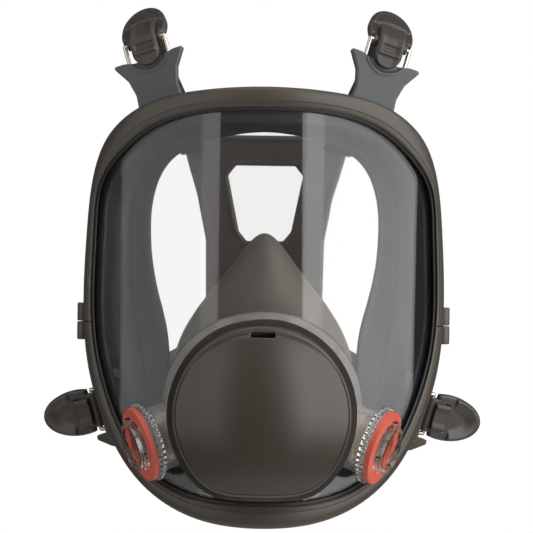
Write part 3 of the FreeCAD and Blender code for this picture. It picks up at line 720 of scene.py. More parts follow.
@dataclass
class Axes:
    """A piece's own axes: x across, y along and z outwards from its face."""

    origin: Vector
    x: Vector
    y: Vector
    z: Vector

    @classmethod
    def from_bar(cls, origin: Sequence[float], bar: Sequence[float], along: Sequence[float]) -> Axes:
        """Axes with x along a bar, y as near a direction as that allows, and z facing forwards."""
        x = Vector(bar).normalized()
        y = Vector(along)
        y = (y - x * y.dot(x)).normalized()
        z = x.cross(y)
        if z.y > 0:
            x = -x
            z = -z
        return cls(Vector(origin), x, y, z)

    @classmethod
    def from_axis(cls, origin: Sequence[float], axis: Sequence[float]) -> Axes:
        """Axes with z along an axis and x level."""
        z = Vector(axis).normalized()
        x = Vector((0, 0, 1)).cross(z).normalized()
        return cls(Vector(origin), x, z.cross(x), z)

    def mirrored(self) -> Axes:
        """The same axes on the other side of the mask. They are left-handed."""
        flip = Matrix.Diagonal((-1, 1, 1))
        return Axes(flip @ self.origin, flip @ self.x, flip @ self.y, flip @ self.z)

    def on(self, side: Side) -> Axes:
        """The axes on a side of the mask, given right-hand ones."""
        return self if side is Side.RIGHT else self.mirrored()

    def point(self, x: float, y: float, z: float) -> Vector:
        """A place in space, in millimetres, from its place on these axes."""
        return self.origin + self.x * x + self.y * y + self.z * z


def circle(axes: Axes, radius: float, z: float, count: int) -> list[Vector]:
    """Points round the z axis of some axes, at one height."""
    turns = [math.tau * i / count for i in range(count)]
    return [axes.point(radius * math.cos(turn), radius * math.sin(turn), z) for turn in turns]


@dataclass
class Plate:
    """A moulded plate on its own axes, with an outline, two faces and a window through it."""

    rows: Sequence[float]
    half_width: Callable[[float], float]
    top: Callable[[float, float], float]
    bottom: Callable[[float, float], float]
    columns: int = 8
    inner: Callable[[float], float] | None = None
    window: tuple[float, float] | None = None

    def across(self, share: float, y: float) -> float:
        """Distance from the middle line for a share from -1 to 1."""
        wide = self.half_width(y)
        inner = self.inner(y) if self.inner else wide / 2
        size = abs(share)
        reach = 2 * size * inner if size <= 0.5 else inner + (2 * size - 1) * (wide - inner)
        return math.copysign(reach, share)

    def build(self, name: str, place: Callable[[float, float, float], Vector]) -> bpy.types.Object:
        """Makes the plate.

        Args:
            name: The object's name.
            place: Turns a place on the plate's axes into a point in space.

        Returns:
            The object.
        """
        shares = [2 * i / self.columns - 1 for i in range(self.columns + 1)]
        wide = len(shares)
        points: list[Vector] = []
        for face in (self.top, self.bottom):
            for y in self.rows:
                points.extend(place(x, y, face(x, y)) for x in (self.across(s, y) for s in shares))
        under = len(self.rows) * wide
        cells = {
            (r, c)
            for r in range(len(self.rows) - 1)
            for c in range(self.columns)
            if not self.is_open((self.rows[r] + self.rows[r + 1]) / 2, (shares[c] + shares[c + 1]) / 2)
        }
        faces = []
        for r, c in cells:
            a, b = r * wide + c, r * wide + c + 1
            d, e = a + wide, b + wide
            faces.append((a, b, e, d))
            faces.append((a + under, d + under, e + under, b + under))
            walls = {(r - 1, c): (a, b), (r + 1, c): (e, d), (r, c - 1): (d, a), (r, c + 1): (b, e)}
            for neighbour, (first, second) in walls.items():
                if neighbour not in cells:
                    faces.append((first, second, second + under, first + under))
        return new_object(name, points, faces)

    def is_open(self, y: float, share: float) -> bool:
        """True inside the window."""
        return self.window is not None and self.window[0] < y < self.window[1] and abs(share) < 0.5


def dress(
    piece: bpy.types.Object,
    finish: bpy.types.Material,
    body: str = "root",
    stands_for: Sequence[str] = (),
) -> bpy.types.Object:
    """Gives a piece its finish, and tells the frame what it rides on and stands for.

    Args:
        piece: The piece.
        finish: Its material.
        body: The body that it moves with.
        stands_for: CAD nodes that it is shown in place of.

    Returns:
        The piece.
    """
    piece.data.materials.clear()
    piece.data.materials.append(finish)
    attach(piece, body)
    if stands_for:
        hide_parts(*stands_for)
    log.info("%s on %s, %d faces", piece.name, body, len(piece.data.polygons))
    return piece


def dress_node(name: str, finish: bpy.types.Material, radius_mm: float = 0.0) -> bpy.types.Object:
    """Gives a CAD node its finish and, if asked, rounded edges."""
    node = frame["nodes"][name]
    for place in node.material_slots:
        place.link = "DATA"
        place.material = finish
    if not node.material_slots:
        node.data.materials.append(finish)
    if radius_mm > 0:
        soften_edges(node, radius_mm)
    log.info("%s finished with %s", name, finish.name)
    return node


# ------------------------------------------------------------------ the mask's shared shape


@dataclass(frozen=True)
class MaskShape:
    """Half outlines and upright round shells that several sub-assemblies share, in millimetres."""

    shell_axis_y: float = 24.0
    face_axis_y: float = 44.0
    face_r: float = 89.0
    frame_outer_r: float = 108.0
    frame_inner_r: float = 98.5
    gasket_outer_r: float = 105.8
    gasket_inner_r: float = 99.7
    gasket_edge: float = 3.0
    fit: float = 0.2
    frame: tuple[Pair, ...] = (
        (0, 88), (33, 86.2), (63, 78.8), (80, 65), (88.4, 44), (91.5, 18), (93, -20), (89.3, -54),
        (79.5, -81), (62.4, -106.5), (37, -122.8), (0, -128.4),
    )  # fmt: skip
    window: tuple[Pair, ...] = (
        (0, 78), (32.4, 76.5), (58.2, 68.7), (73, 57.5), (83.8, 43), (87.4, 20), (88.5, -8), (86.8, -40),
        (80, -65), (66, -92), (49.5, -107.7), (28, -115.4), (0, -117.1),
    )  # fmt: skip
    lip: tuple[Pair, ...] = (
        (0, 68), (30, 63), (48, 54), (57, 36), (58.5, 17), (55, -10), (48.5, -37), (46.5, -62), (34, -90),
        (0, -102),
    )  # fmt: skip
    cover: tuple[Pair, ...] = (
        (0, -28), (19, -32), (35, -46), (42.6, -71), (37.5, -91), (25, -105.5), (0, -109),
    )  # fmt: skip

    def shell(self, radius: float) -> Depth:
        """Depth of the visor's shell at a radius."""
        return on_round(radius, self.shell_axis_y)

    def face(self, radius: float) -> Depth:
        """Depth of the round that lies on the face."""
        return on_round(radius, self.face_axis_y)


SHAPE = MaskShape()


# ------------------------------------------------------------------ frame, visor and seal


@dataclass
class FrameRing:
    """The two nylon halves that clamp the visor, screwed together at the sides."""

    finishes: Finishes
    split_z: float = -29.5
    split_gap: float = 0.4
    edge_radius: float = 1.3
    crown: float = 0.5
    outer_fall: float = 0.25
    bead_share: float = 0.2
    lug_r: float = 3.1
    lug_bore_r: float = 1.35
    lug_sink_r: float = 2.3
    lug_sink: float = 2.2
    lug_height: float = 9.5
    lug_at: Pair = (93.5, -21.0)

    def section(self) -> list[list[Vector]]:
        """Loops round the channel section, from the window's front edge outwards and back."""
        inner = smooth_loop(SHAPE.window)
        outer = smooth_loop(SHAPE.frame)
        bed = smooth_loop(grow(SHAPE.window, SHAPE.gasket_edge + SHAPE.fit))
        front = SHAPE.frame_outer_r
        radius = self.edge_radius
        channel = SHAPE.gasket_outer_r + SHAPE.fit / 2
        inner_edge = smooth_loop(grow(SHAPE.window, 0.35 * radius))
        inner_top = smooth_loop(grow(SHAPE.window, radius))
        outer_edge = smooth_loop(grow(SHAPE.frame, -0.35 * radius))
        outer_top = smooth_loop(grow(SHAPE.frame, -radius))

        def across(share: float, rise: float) -> list[Vector]:
            """A loop part of the way across the front, standing a little proud."""
            flat_loop = inner_top + (outer_top - inner_top) * share
            return ring(flat_loop, SHAPE.shell(front + rise))

        return [
            ring(inner, SHAPE.shell(channel)),
            ring(inner, SHAPE.shell(front - radius)),
            ring(inner_edge, SHAPE.shell(front - 0.35 * radius)),
            across(0.0, 0.0),
            across(self.bead_share, 0.1),
            across(self.bead_share + 0.05, self.crown * 0.9),
            across(0.45, self.crown),
            across(0.7, self.crown * 0.8),
            across(0.88, 0.1),
            across(1.0, -self.outer_fall),
            ring(outer_edge, SHAPE.shell(front - self.outer_fall - 0.4 * radius)),
            ring(outer, SHAPE.shell(front - self.outer_fall - 1.2 * radius)),
            ring(outer, SHAPE.shell((front + SHAPE.frame_inner_r) / 2)),
            ring(outer, SHAPE.shell(SHAPE.frame_inner_r + 0.4)),
            ring(outer_edge, SHAPE.shell(SHAPE.frame_inner_r)),
            ring(inner, SHAPE.shell(SHAPE.frame_inner_r)),
            ring(inner, SHAPE.shell(SHAPE.gasket_inner_r - SHAPE.fit / 2)),
            ring(bed, SHAPE.shell(SHAPE.gasket_inner_r - SHAPE.fit / 2)),
            ring(bed, SHAPE.shell(channel)),
        ]

    def lug(self, side: Side, above: bool) -> bpy.types.Object:
        """A screw lug of one half, with its bore and the sink for the screw's head or the nut."""
        way = 1 if above else -1
        start = self.split_z + way * self.split_gap / 2
        x, y = self.lug_at
        axes = Axes(
            Vector((side.value * x, y, start)), Vector((1, 0, 0)), Vector((0, 1, 0)), Vector((0, 0, way))
        )
        top = self.lug_height - self.split_gap / 2
        profile = (
            (self.lug_bore_r, 0), (self.lug_r - 0.3, 0), (self.lug_r, 0.3), (self.lug_r, top - 0.8),
            (self.lug_r - 0.15, top - 0.2), (self.lug_r - 0.4, top), (self.lug_sink_r + 0.1, top),
            (self.lug_sink_r, top - 0.2), (self.lug_sink_r, top - self.lug_sink),
            (self.lug_bore_r, top - self.lug_sink),
        )  # fmt: skip
        return turned("lug", axes, profile, 32)

    def build(self) -> None:
        """Makes both halves."""
        for above, word in ((True, "upper"), (False, "lower")):
            half = loft(f"frame_ring_{word}", self.section(), closed=True)
            gap = self.split_gap / 2 if above else -self.split_gap / 2
            half = keep_side(half, self.split_z + gap, above)
            lugs = [self.lug(side, above) for side in Side]
            whole = join(f"frame_half_{word}", [half, *lugs])
            soften_edges(whole, 0.25, 2)
            dress(whole, self.finishes.frame_nylon, stands_for=[f"frame_{word}"])
        dress_node("frame_screws", self.finishes.steel)
        dress_node("frame_nuts", self.finishes.steel)


@dataclass
class Visor:
    """The clear panoramic visor with its cone, and the black bead that seats it in the frame."""

    finishes: Finishes
    bead_shows: float = 1.6
    bead_round: float = 0.5
    bead_wall: float = 1.7
    groove_in: float = 0.6

    def build(self) -> None:
        """Dresses the visor and makes its bead."""
        dress_node("lens", self.finishes.visor)
        bead = self.bead()
        dress(bead, self.finishes.black_rubber, stands_for=["lens_gasket"])

    def bead(self) -> bpy.types.Object:
        """The bead, a rounded channel round the visor's edge."""
        show, round_over = self.bead_shows, self.bead_round
        outer = smooth_loop(grow(SHAPE.window, SHAPE.gasket_edge))
        inner = smooth_loop(grow(SHAPE.window, -show))
        inner_top = smooth_loop(grow(SHAPE.window, round_over - show))
        groove = smooth_loop(grow(SHAPE.window, SHAPE.gasket_edge - self.groove_in))
        front, back = SHAPE.gasket_outer_r, SHAPE.gasket_inner_r
        glass_front, glass_back = front - self.bead_wall, back + self.bead_wall
        loops = [
            ring(outer, SHAPE.shell(front)),
            ring(inner_top, SHAPE.shell(front)),
            ring(inner, SHAPE.shell(front - round_over)),
            ring(inner, SHAPE.shell(glass_front)),
            ring(groove, SHAPE.shell(glass_front)),
            ring(groove, SHAPE.shell(glass_back)),
            ring(inner, SHAPE.shell(glass_back)),
            ring(inner, SHAPE.shell(back + round_over)),
            ring(inner_top, SHAPE.shell(back)),
            ring(outer, SHAPE.shell(back)),
        ]
        return loft("visor_bead", loops, closed=True)


@dataclass
class FaceSeal:
    """The soft seal: a flange held behind the visor, a funnel inwards and back, and the lip on the face."""

    finishes: Finishes
    outer_inset: float = 4.5
    wall: float = 3.0
    flange: float = 6.5
    roll: float = 1.6
    fold_share: float = 0.5
    fold_step: float = 0.7

    def funnel(self, share: float, lift: float = 0.0) -> list[Vector]:
        """A loop on the funnel's front, from the flange (0) to the lip (1).

        Args:
            share: How far across the funnel.
            lift: How far it stands forward of the plain funnel.

        Returns:
            The loop.
        """
        start = smooth_loop(grow(SHAPE.window, -self.flange - 1.0))
        lip = smooth_loop(SHAPE.lip)
        front = SHAPE.shell(SHAPE.frame_inner_r - self.wall)
        face = SHAPE.face(SHAPE.face_r + self.wall)
        ease = math.sin(share * math.pi / 2) ** 0.85
        flat_loop = start + (lip - start) * share
        curl = self.roll * max(0.0, (share - 0.86) / 0.14) ** 2
        loop = []
        for (sx, sz), (x, z) in zip(start, flat_loop):
            y = front(sx, sz) * (1 - ease) + face(x, z) * ease
            loop.append(Vector((x, y + curl - lift, z)))
        return loop

    def build(self) -> None:
        """Makes the seal."""
        outer = smooth_loop(grow(SHAPE.frame, -self.outer_inset))
        flange = smooth_loop(grow(SHAPE.window, -self.flange))
        flange_root = smooth_loop(grow(SHAPE.window, -self.flange + 0.8))
        lip = smooth_loop(SHAPE.lip)
        behind = SHAPE.face(SHAPE.face_r)
        front_r = SHAPE.frame_inner_r - SHAPE.fit
        shares = [0.0, 0.07, 0.15, 0.25, 0.36, self.fold_share - 0.03]
        loops = [
            ring(outer, SHAPE.shell(front_r - 0.6)),
            ring(outer * np.array([0.995, 0.995]), SHAPE.shell(front_r)),
            ring(flange_root, SHAPE.shell(front_r)),
            ring(flange, SHAPE.shell(front_r - 0.8)),
        ]
        loops += [self.funnel(share) for share in shares]
        loops += [self.funnel(self.fold_share, self.fold_step * 0.6)]
        loops += [self.funnel(self.fold_share + 0.02, self.fold_step)]
        past_fold = (0.6, 0.7, 0.8, 0.88, 0.94, 1.0)
        loops += [self.funnel(share, self.fold_step * (1 - share)) for share in past_fold]
        edge = loops[-1]
        backs = ring(lip, behind)
        loops += [between(edge, backs, 0.6), backs]
        for share in (0.15, 0.35, 0.55, 0.75, 0.9, 1.0):
            loops.append(ring(lip + (outer - lip) * share, behind))
        loops.append(between(loops[-1], loops[0], 0.35))
        loops.append(between(loops[-2], loops[0], 0.7))
        seal = loft("face_seal_funnel", loops, closed=True)
        # The funnel's darker silicone colour is painted shade.
        dress(seal, self.finishes.funnel_silicone_painted_shade, stands_for=["face_seal"])


@dataclass
class NoseCup:
    """The inner cup over the nose and mouth, from the adapter's neck to the face."""

    finishes: Finishes
    wall: float = 2.2
    neck_inset: float = 9.0
    rim_r: float = 1.3
    stations_y: tuple[float, ...] = (-108.0, -92.0, -62.0, -42.0)
    middle: tuple[Pair, ...] = ((0, -20), (14, -25), (29, -40), (37, -59), (35, -80), (21, -94), (0, -97))
    face: tuple[Pair, ...] = ((0, 17), (14, 3), (30, -18), (44, -50), (38, -76), (22, -92), (0, -96))
    valve_at: tuple[float, float, float] = (40.0, -52.5, -57.0)
    valve_axis: tuple[float, float, float] = (0.94, -0.34, 0.0)
    valve_r: float = 6.3
    boss_wall: float = 1.8
    boss_behind: float = 3.4
    boss_proud: float = 2.5
    hole_reach: float = 7.0
    rim_flare: float = 0.03
    curve_share: float = 0.65

    def station_loops(self, inset: float) -> list[np.ndarray]:
        """Loops (x, y, z) at the cup's stations, moved inwards."""
        neck = grow(SHAPE.cover, -self.neck_inset + SHAPE.fit + self.wall - inset)
        halves = [neck, neck, grow(self.middle, -inset), grow(self.face, -inset)]
        loops = []
        for half, y in zip(halves, self.stations_y):
            flat_loop = smooth_loop(half)
            loops.append(np.column_stack([flat_loop[:, 0], np.full(len(flat_loop), y), flat_loop[:, 1]]))
        return loops

    def wall_loops(self, inset: float, steps: int = 7) -> list[list[Vector]]:
        """Loops down one face of the wall, on a smooth curve through the stations."""
        stations = self.station_loops(inset)
        padded = [stations[0], *stations, stations[-1]]
        loops = []
        for i in range(len(stations) - 1):
            before, a, b, after = padded[i : i + 4]
            for step in range(steps):
                t = step / steps
                straight = a + (b - a) * t
                slope_a = (b - before) / 2 if i else b - a
                slope_b = (after - a) / 2 if i < len(stations) - 2 else b - a
                h = (1 + 2 * t) * (1 - t) ** 2 * a + t * (1 - t) ** 2 * slope_a
                h = h + t * t * (3 - 2 * t) * b + t * t * (t - 1) * slope_b
                loops.append([Vector(p) for p in straight * (1 - self.curve_share) + h * self.curve_share])
        loops.append([Vector(p) for p in stations[-1]])
        return loops

    def build(self) -> None:
        """Makes the cup with its rolled rim and valve bosses."""
        outer = self.wall_loops(0.0)
        inner = self.wall_loops(self.wall)
        flare = self.rim_flare
        roll = [Vector((p.x * (1 + flare), p.y + 0.4, p.z)) for p in outer[-1]]
        roll_back = [Vector((p.x * (1 + flare / 2), p.y + self.rim_r, p.z)) for p in outer[-1]]
        loops = outer[:-1] + [between(outer[-2], outer[-1], 0.8), roll, roll_back] + inner[::-1]
        cup = loft("nose_cup_shell", loops, closed=True)
        bosses = []
        for side in Side:
            axes = Axes.from_axis(self.valve_at, self.valve_axis).on(side)
            r, wide = self.valve_r, self.valve_r + self.boss_wall
            low, high = -self.boss_behind, self.boss_proud
            profile = ((r, low), (wide, low), (wide, high - 0.6), (wide - 0.4, high - 0.1), (r + 0.2, high),
                       (r, high - 0.2))  # fmt: skip
            bosses.append(turned("boss", axes, profile))
        cutters = []
        for side in Side:
            axes = Axes.from_axis(self.valve_at, self.valve_axis).on(side)
            hole = circle(axes, self.valve_r, -self.hole_reach, 40)
            cutters.append(prism("hole", hole, axes.z * (2 * self.hole_reach)))
        cup = carve(cup, cutters)
        whole = join("nose_cup_body", [cup, *bosses])
        dress(whole, self.finishes.cup_silicone, stands_for=["nose_cup"])
        for side in Side:
            dress_node(f"cup_valve_seat_{side.label}", self.finishes.adapter_nylon, radius_mm=0.3)
            dress_node(f"cup_valve_flap_{side.label}", self.finishes.valve_rubber)


# ------------------------------------------------------------------ centre unit


@dataclass
class CentreUnit:
    """The front cover and everything that it hides: adapter, valve and speaking diaphragm."""

    finishes: Finishes
    back_y: float = -110.3
    front_y: float = -130.3
    dome_r: float = 80.0
    middle_z: float = -69.0
    wall: float = 2.2
    border: float = 1.0
    border_top: float = 2.6
    border_rise: int = 6
    step: float = 0.2
    slot_half: Pair = (5.8, 1.3)
    slot_down: float = 4.3
    slot_round: float = 0.6
    slot_before: float = 5.0
    slot_through: float = 18.0
    outlet_width: float = 34.0
    outlet_depth: float = 6.0
    outlet_z: float = -100.0
    outlet_round: float = 1.0
    outlet_past: float = 2.0
    outlet_through: float = 20.0

    def dome(self, inset: float = 0.0) -> Depth:
        """Depth of the cover's domed front, moved inwards."""
        radius = self.dome_r - inset
        centre_y = self.front_y + self.dome_r

        def depth(x: float, z: float) -> float:
            """The depth at one place."""
            return centre_y - math.sqrt(radius**2 - x**2 - (z - self.middle_z) ** 2)

        return depth

    def dome_edge(self, inset: float) -> np.ndarray:
        """Loop where the dome starts inside its border, which is widest at the top."""
        half = grow(SHAPE.cover, -self.border - inset)
        low = half[-1][1]
        high = half[0][1]

        def widening(z: float) -> float:
            """How much wider the border is at a height."""
            return self.border_top * max(0.0, (z - low) / (high - low)) ** self.border_rise

        return smooth_loop([(x, z - widening(z)) for x, z in half])

    def cover(self) -> bpy.types.Object:
        """The moulded cover, a shell with a stepped border, a slot and an outlet."""
        dome = self.dome()
        outer = smooth_loop(SHAPE.cover)
        inner = smooth_loop(grow(SHAPE.cover, -self.wall))

        def raised(loop: np.ndarray, lift: float) -> list[Vector]:
            """The loop on the dome, moved back by a lift."""
            return [Vector((x, dome(x, z) + lift, z)) for x, z in loop]

        def rim(inset: float, lift: float) -> list[Vector]:
            """A loop near the outer edge."""
            return raised(smooth_loop(grow(SHAPE.cover, -inset)), lift)

        middle = Vector((0, self.front_y, self.middle_z))
        core = self.dome_edge(1.4)
        inner_dome = self.dome(self.wall)
        inside = [ring(inner * share + np.array([0, self.middle_z]) * (1 - share), inner_dome)
                  for share in (0.2, 0.5, 0.8, 1.0)]  # fmt: skip
        domed = []
        for share in (0.97, 0.92, 0.84, 0.74, 0.62, 0.5, 0.38, 0.26, 0.14, 0.05):
            domed.append(raised(core * share + np.array([0, self.middle_z]) * (1 - share), 0.0))
        loops = [
            *inside,
            ring(inner, flat(self.back_y)),
            ring(outer, flat(self.back_y)),
            ring(outer, flat(self.back_y - 2.5)),
            rim(0.0, 2.4), rim(0.05, 1.2), rim(0.35, 0.6), rim(0.85, 0.3), rim(1.3, 0.28),
            raised(self.dome_edge(0.0), 0.3),
            raised(self.dome_edge(0.15), 0.3 + self.step),
            raised(self.dome_edge(0.5), 0.3 + self.step),
            raised(self.dome_edge(0.75), 0.25),
            raised(self.dome_edge(1.0), 0.06),
            raised(core, 0.0),
            *domed,
        ]  # fmt: skip
        shell = loft("cover_shell", loops, tips=(middle + Vector((0, self.wall, 0)), middle))
        slot_axes = Axes(
            Vector((0, self.front_y - self.slot_before, SHAPE.cover[0][1] - self.slot_down)),
            Vector((1, 0, 0)), Vector((0, 0, 1)), Vector((0, -1, 0)),
        )  # fmt: skip
        slot_outline = rounded_box_outline(slot_axes, *self.slot_half, self.slot_round)
        slot = prism("slot", slot_outline, Vector((0, self.slot_through, 0)))
        past = self.outlet_past
        outlet_middle = Vector((0, self.back_y + past, self.outlet_z))
        outlet_axes = Axes(outlet_middle, Vector((1, 0, 0)), Vector((0, 1, 0)), Vector((0, 0, 1)))
        outline = rounded_box_outline(
            outlet_axes, self.outlet_width / 2, self.outlet_depth + past, self.outlet_round
        )
        outlet = prism("outlet", outline, Vector((0, 0, -self.outlet_through)))
        return carve(shell, [slot, outlet])

    def build(self) -> None:
        """Makes the cover and dresses what it hides."""
        dress(self.cover(), self.finishes.cover_nylon, "cover", ["centre_cover"])
        dress_node("centre_adapter", self.finishes.cover_nylon, radius_mm=0.4)
        dress_node("adapter_gasket", self.finishes.black_rubber)
        dress_node("exhalation_valve_seat", self.finishes.adapter_nylon, radius_mm=0.2)
        dress_node("exhalation_valve", self.finishes.valve_rubber)
        dress_node("speaking_diaphragm", self.finishes.film)
        dress_node("diaphragm_ring", self.finishes.adapter_nylon, radius_mm=0.2)


# ------------------------------------------------------------------ filter ports


@dataclass
class FilterPort:
    """A filter port: red gasket, clear lugged spigot, tan seat and its flap, and ribs round the flange."""

    finishes: Finishes
    side: Side
    at: tuple[float, float, float] = (60.0, -84.0, -88.0)
    axis: tuple[float, float, float] = (0.88, -0.36, -0.30)
    flange_r: float = 18.7
    flange_face: float = -2.6
    flange_t: float = 4.0
    rib_count: int = 40
    rib_height: float = 0.7

    def ribs(self) -> bpy.types.Object:
        """The fine ribs round the flange's rim."""
        axes = Axes.from_axis(self.at, self.axis).on(self.side)

        def wave(turn: float, index: int) -> float:
            """Extra radius of the rounded ribs on the outer part of the section."""
            return self.rib_height * max(0.0, math.cos(turn * self.rib_count)) if index in (1, 2, 3) else 0.0

        low = self.flange_face - self.flange_t
        high = self.flange_face - 0.15
        r = self.flange_r
        profile = ((r + 0.02, low), (r + 0.1, low + 0.3), (r + 0.2, (low + high) / 2), (r + 0.1, high - 0.3),
                   (r + 0.02, high))  # fmt: skip
        return turned(f"flange_ribs_{self.side.label}", axes, profile, self.rib_count * 6, wave)

    def build(self) -> None:
        """Makes the ribs and dresses the port's nodes."""
        word = self.side.label
        dress(self.ribs(), self.finishes.spigot)
        dress_node(f"port_spigot_{word}", self.finishes.spigot, radius_mm=0.5)
        dress_node(f"port_gasket_{word}", self.finishes.red_rubber, radius_mm=0.4)
        dress_node(f"inhalation_seat_{word}", self.finishes.tan_nylon, radius_mm=0.3)
        dress_node(f"inhalation_flap_{word}", self.finishes.valve_rubber)


# ------------------------------------------------------------------ buckles, tabs and straps


@dataclass
class Route:
    """A path for a strap, with its width direction at each point."""

    points: list[Vector]
    across: list[Vector]
    steps: list[float] = field(init=False)

    def __post_init__(self) -> None:
        """Measures the path."""
        self.steps = [0.0]
        for a, b in zip(self.points, self.points[1:]):
            self.steps.append(self.steps[-1] + (b - a).length)

    @property
    def length(self) -> float:
        """The path's length in millimetres."""
        return self.steps[-1]

    def place(self, x: float, y: float, z: float) -> Vector:
        """A place on the strap: x across, y along and z out from its middle."""
        along = min(max(y, 0.0), self.length)
        index = max(0, min(int(np.searchsorted(self.steps, along)) - 1, len(self.points) - 2))
        share = (along - self.steps[index]) / max(self.steps[index + 1] - self.steps[index], 1e-9)
        here = self.points[index].lerp(self.points[index + 1], share)
        way = self.way(index).lerp(self.way(index + 1), share).normalized()
        wide = self.across[index].lerp(self.across[index + 1], share)
        wide = (wide - way * wide.dot(way)).normalized()
        return here + wide * x + wide.cross(way) * z

    def way(self, index: int) -> Vector:
        """Direction of the path at one of its points."""
        after = self.points[min(index + 1, len(self.points) - 1)]
        before = self.points[max(index - 1, 0)]
        return (after - before).normalized()


def rounded(edge: float, height: float, radius: float) -> float:
    """Height of a face near an edge that is rounded over."""
    if edge >= radius:
        return height
    inward = radius - max(edge, 0.0)
    return height - radius + math.sqrt(max(radius**2 - inward**2, 0.0))


def soft_step(value: float, low: float, high: float) -> float:
    """0 below low, 1 above high and smooth between."""
    t = min(max((value - low) / (high - low), 0.0), 1.0)
    return t * t * (3 - 2 * t)


@dataclass(frozen=True)
class BuckleSizes:
    """Where one row's buckles are and how their tabs are shaped, for the right-hand side."""

    pin: tuple[float, float, float]
    bar: tuple[float, float, float]
    leaf_way: tuple[float, float, float]
    tab_way: tuple[float, float, float]
    tab_outline: tuple[Pair, ...]
    arm_end: Pair
    arm_across: tuple[float, float, float]
    dished: bool


BUCKLES = {
    Corner.UPPER: BuckleSizes(
        (62.3, -46.0, 113.3), (-0.936, -0.18, 0.302), (0.04, 0.80, 0.60), (0.296, 0.14, 0.943),
        ((12, -37), (11.2, -26), (13.2, -18), (18.6, -9.6), (17.8, -8.4)), (41.0, 66.0), (-1, 0, 0.25), False,
    ),
    Corner.LOWER: BuckleSizes(
        (86.3, -18.6, -75.5), (0.26, -0.105, 0.96), (0.92, 0.34, -0.17), (0.777, 0.622, -0.092),
        ((23, -22), (20, -6), (16, 3), (13.6, 3), (12.8, -4), (-12.8, -4), (-15, -9), (-20, -22)),
        (33.0, -48.0), (0.3, 0, 1), True,
    ),
}  # fmt: skip


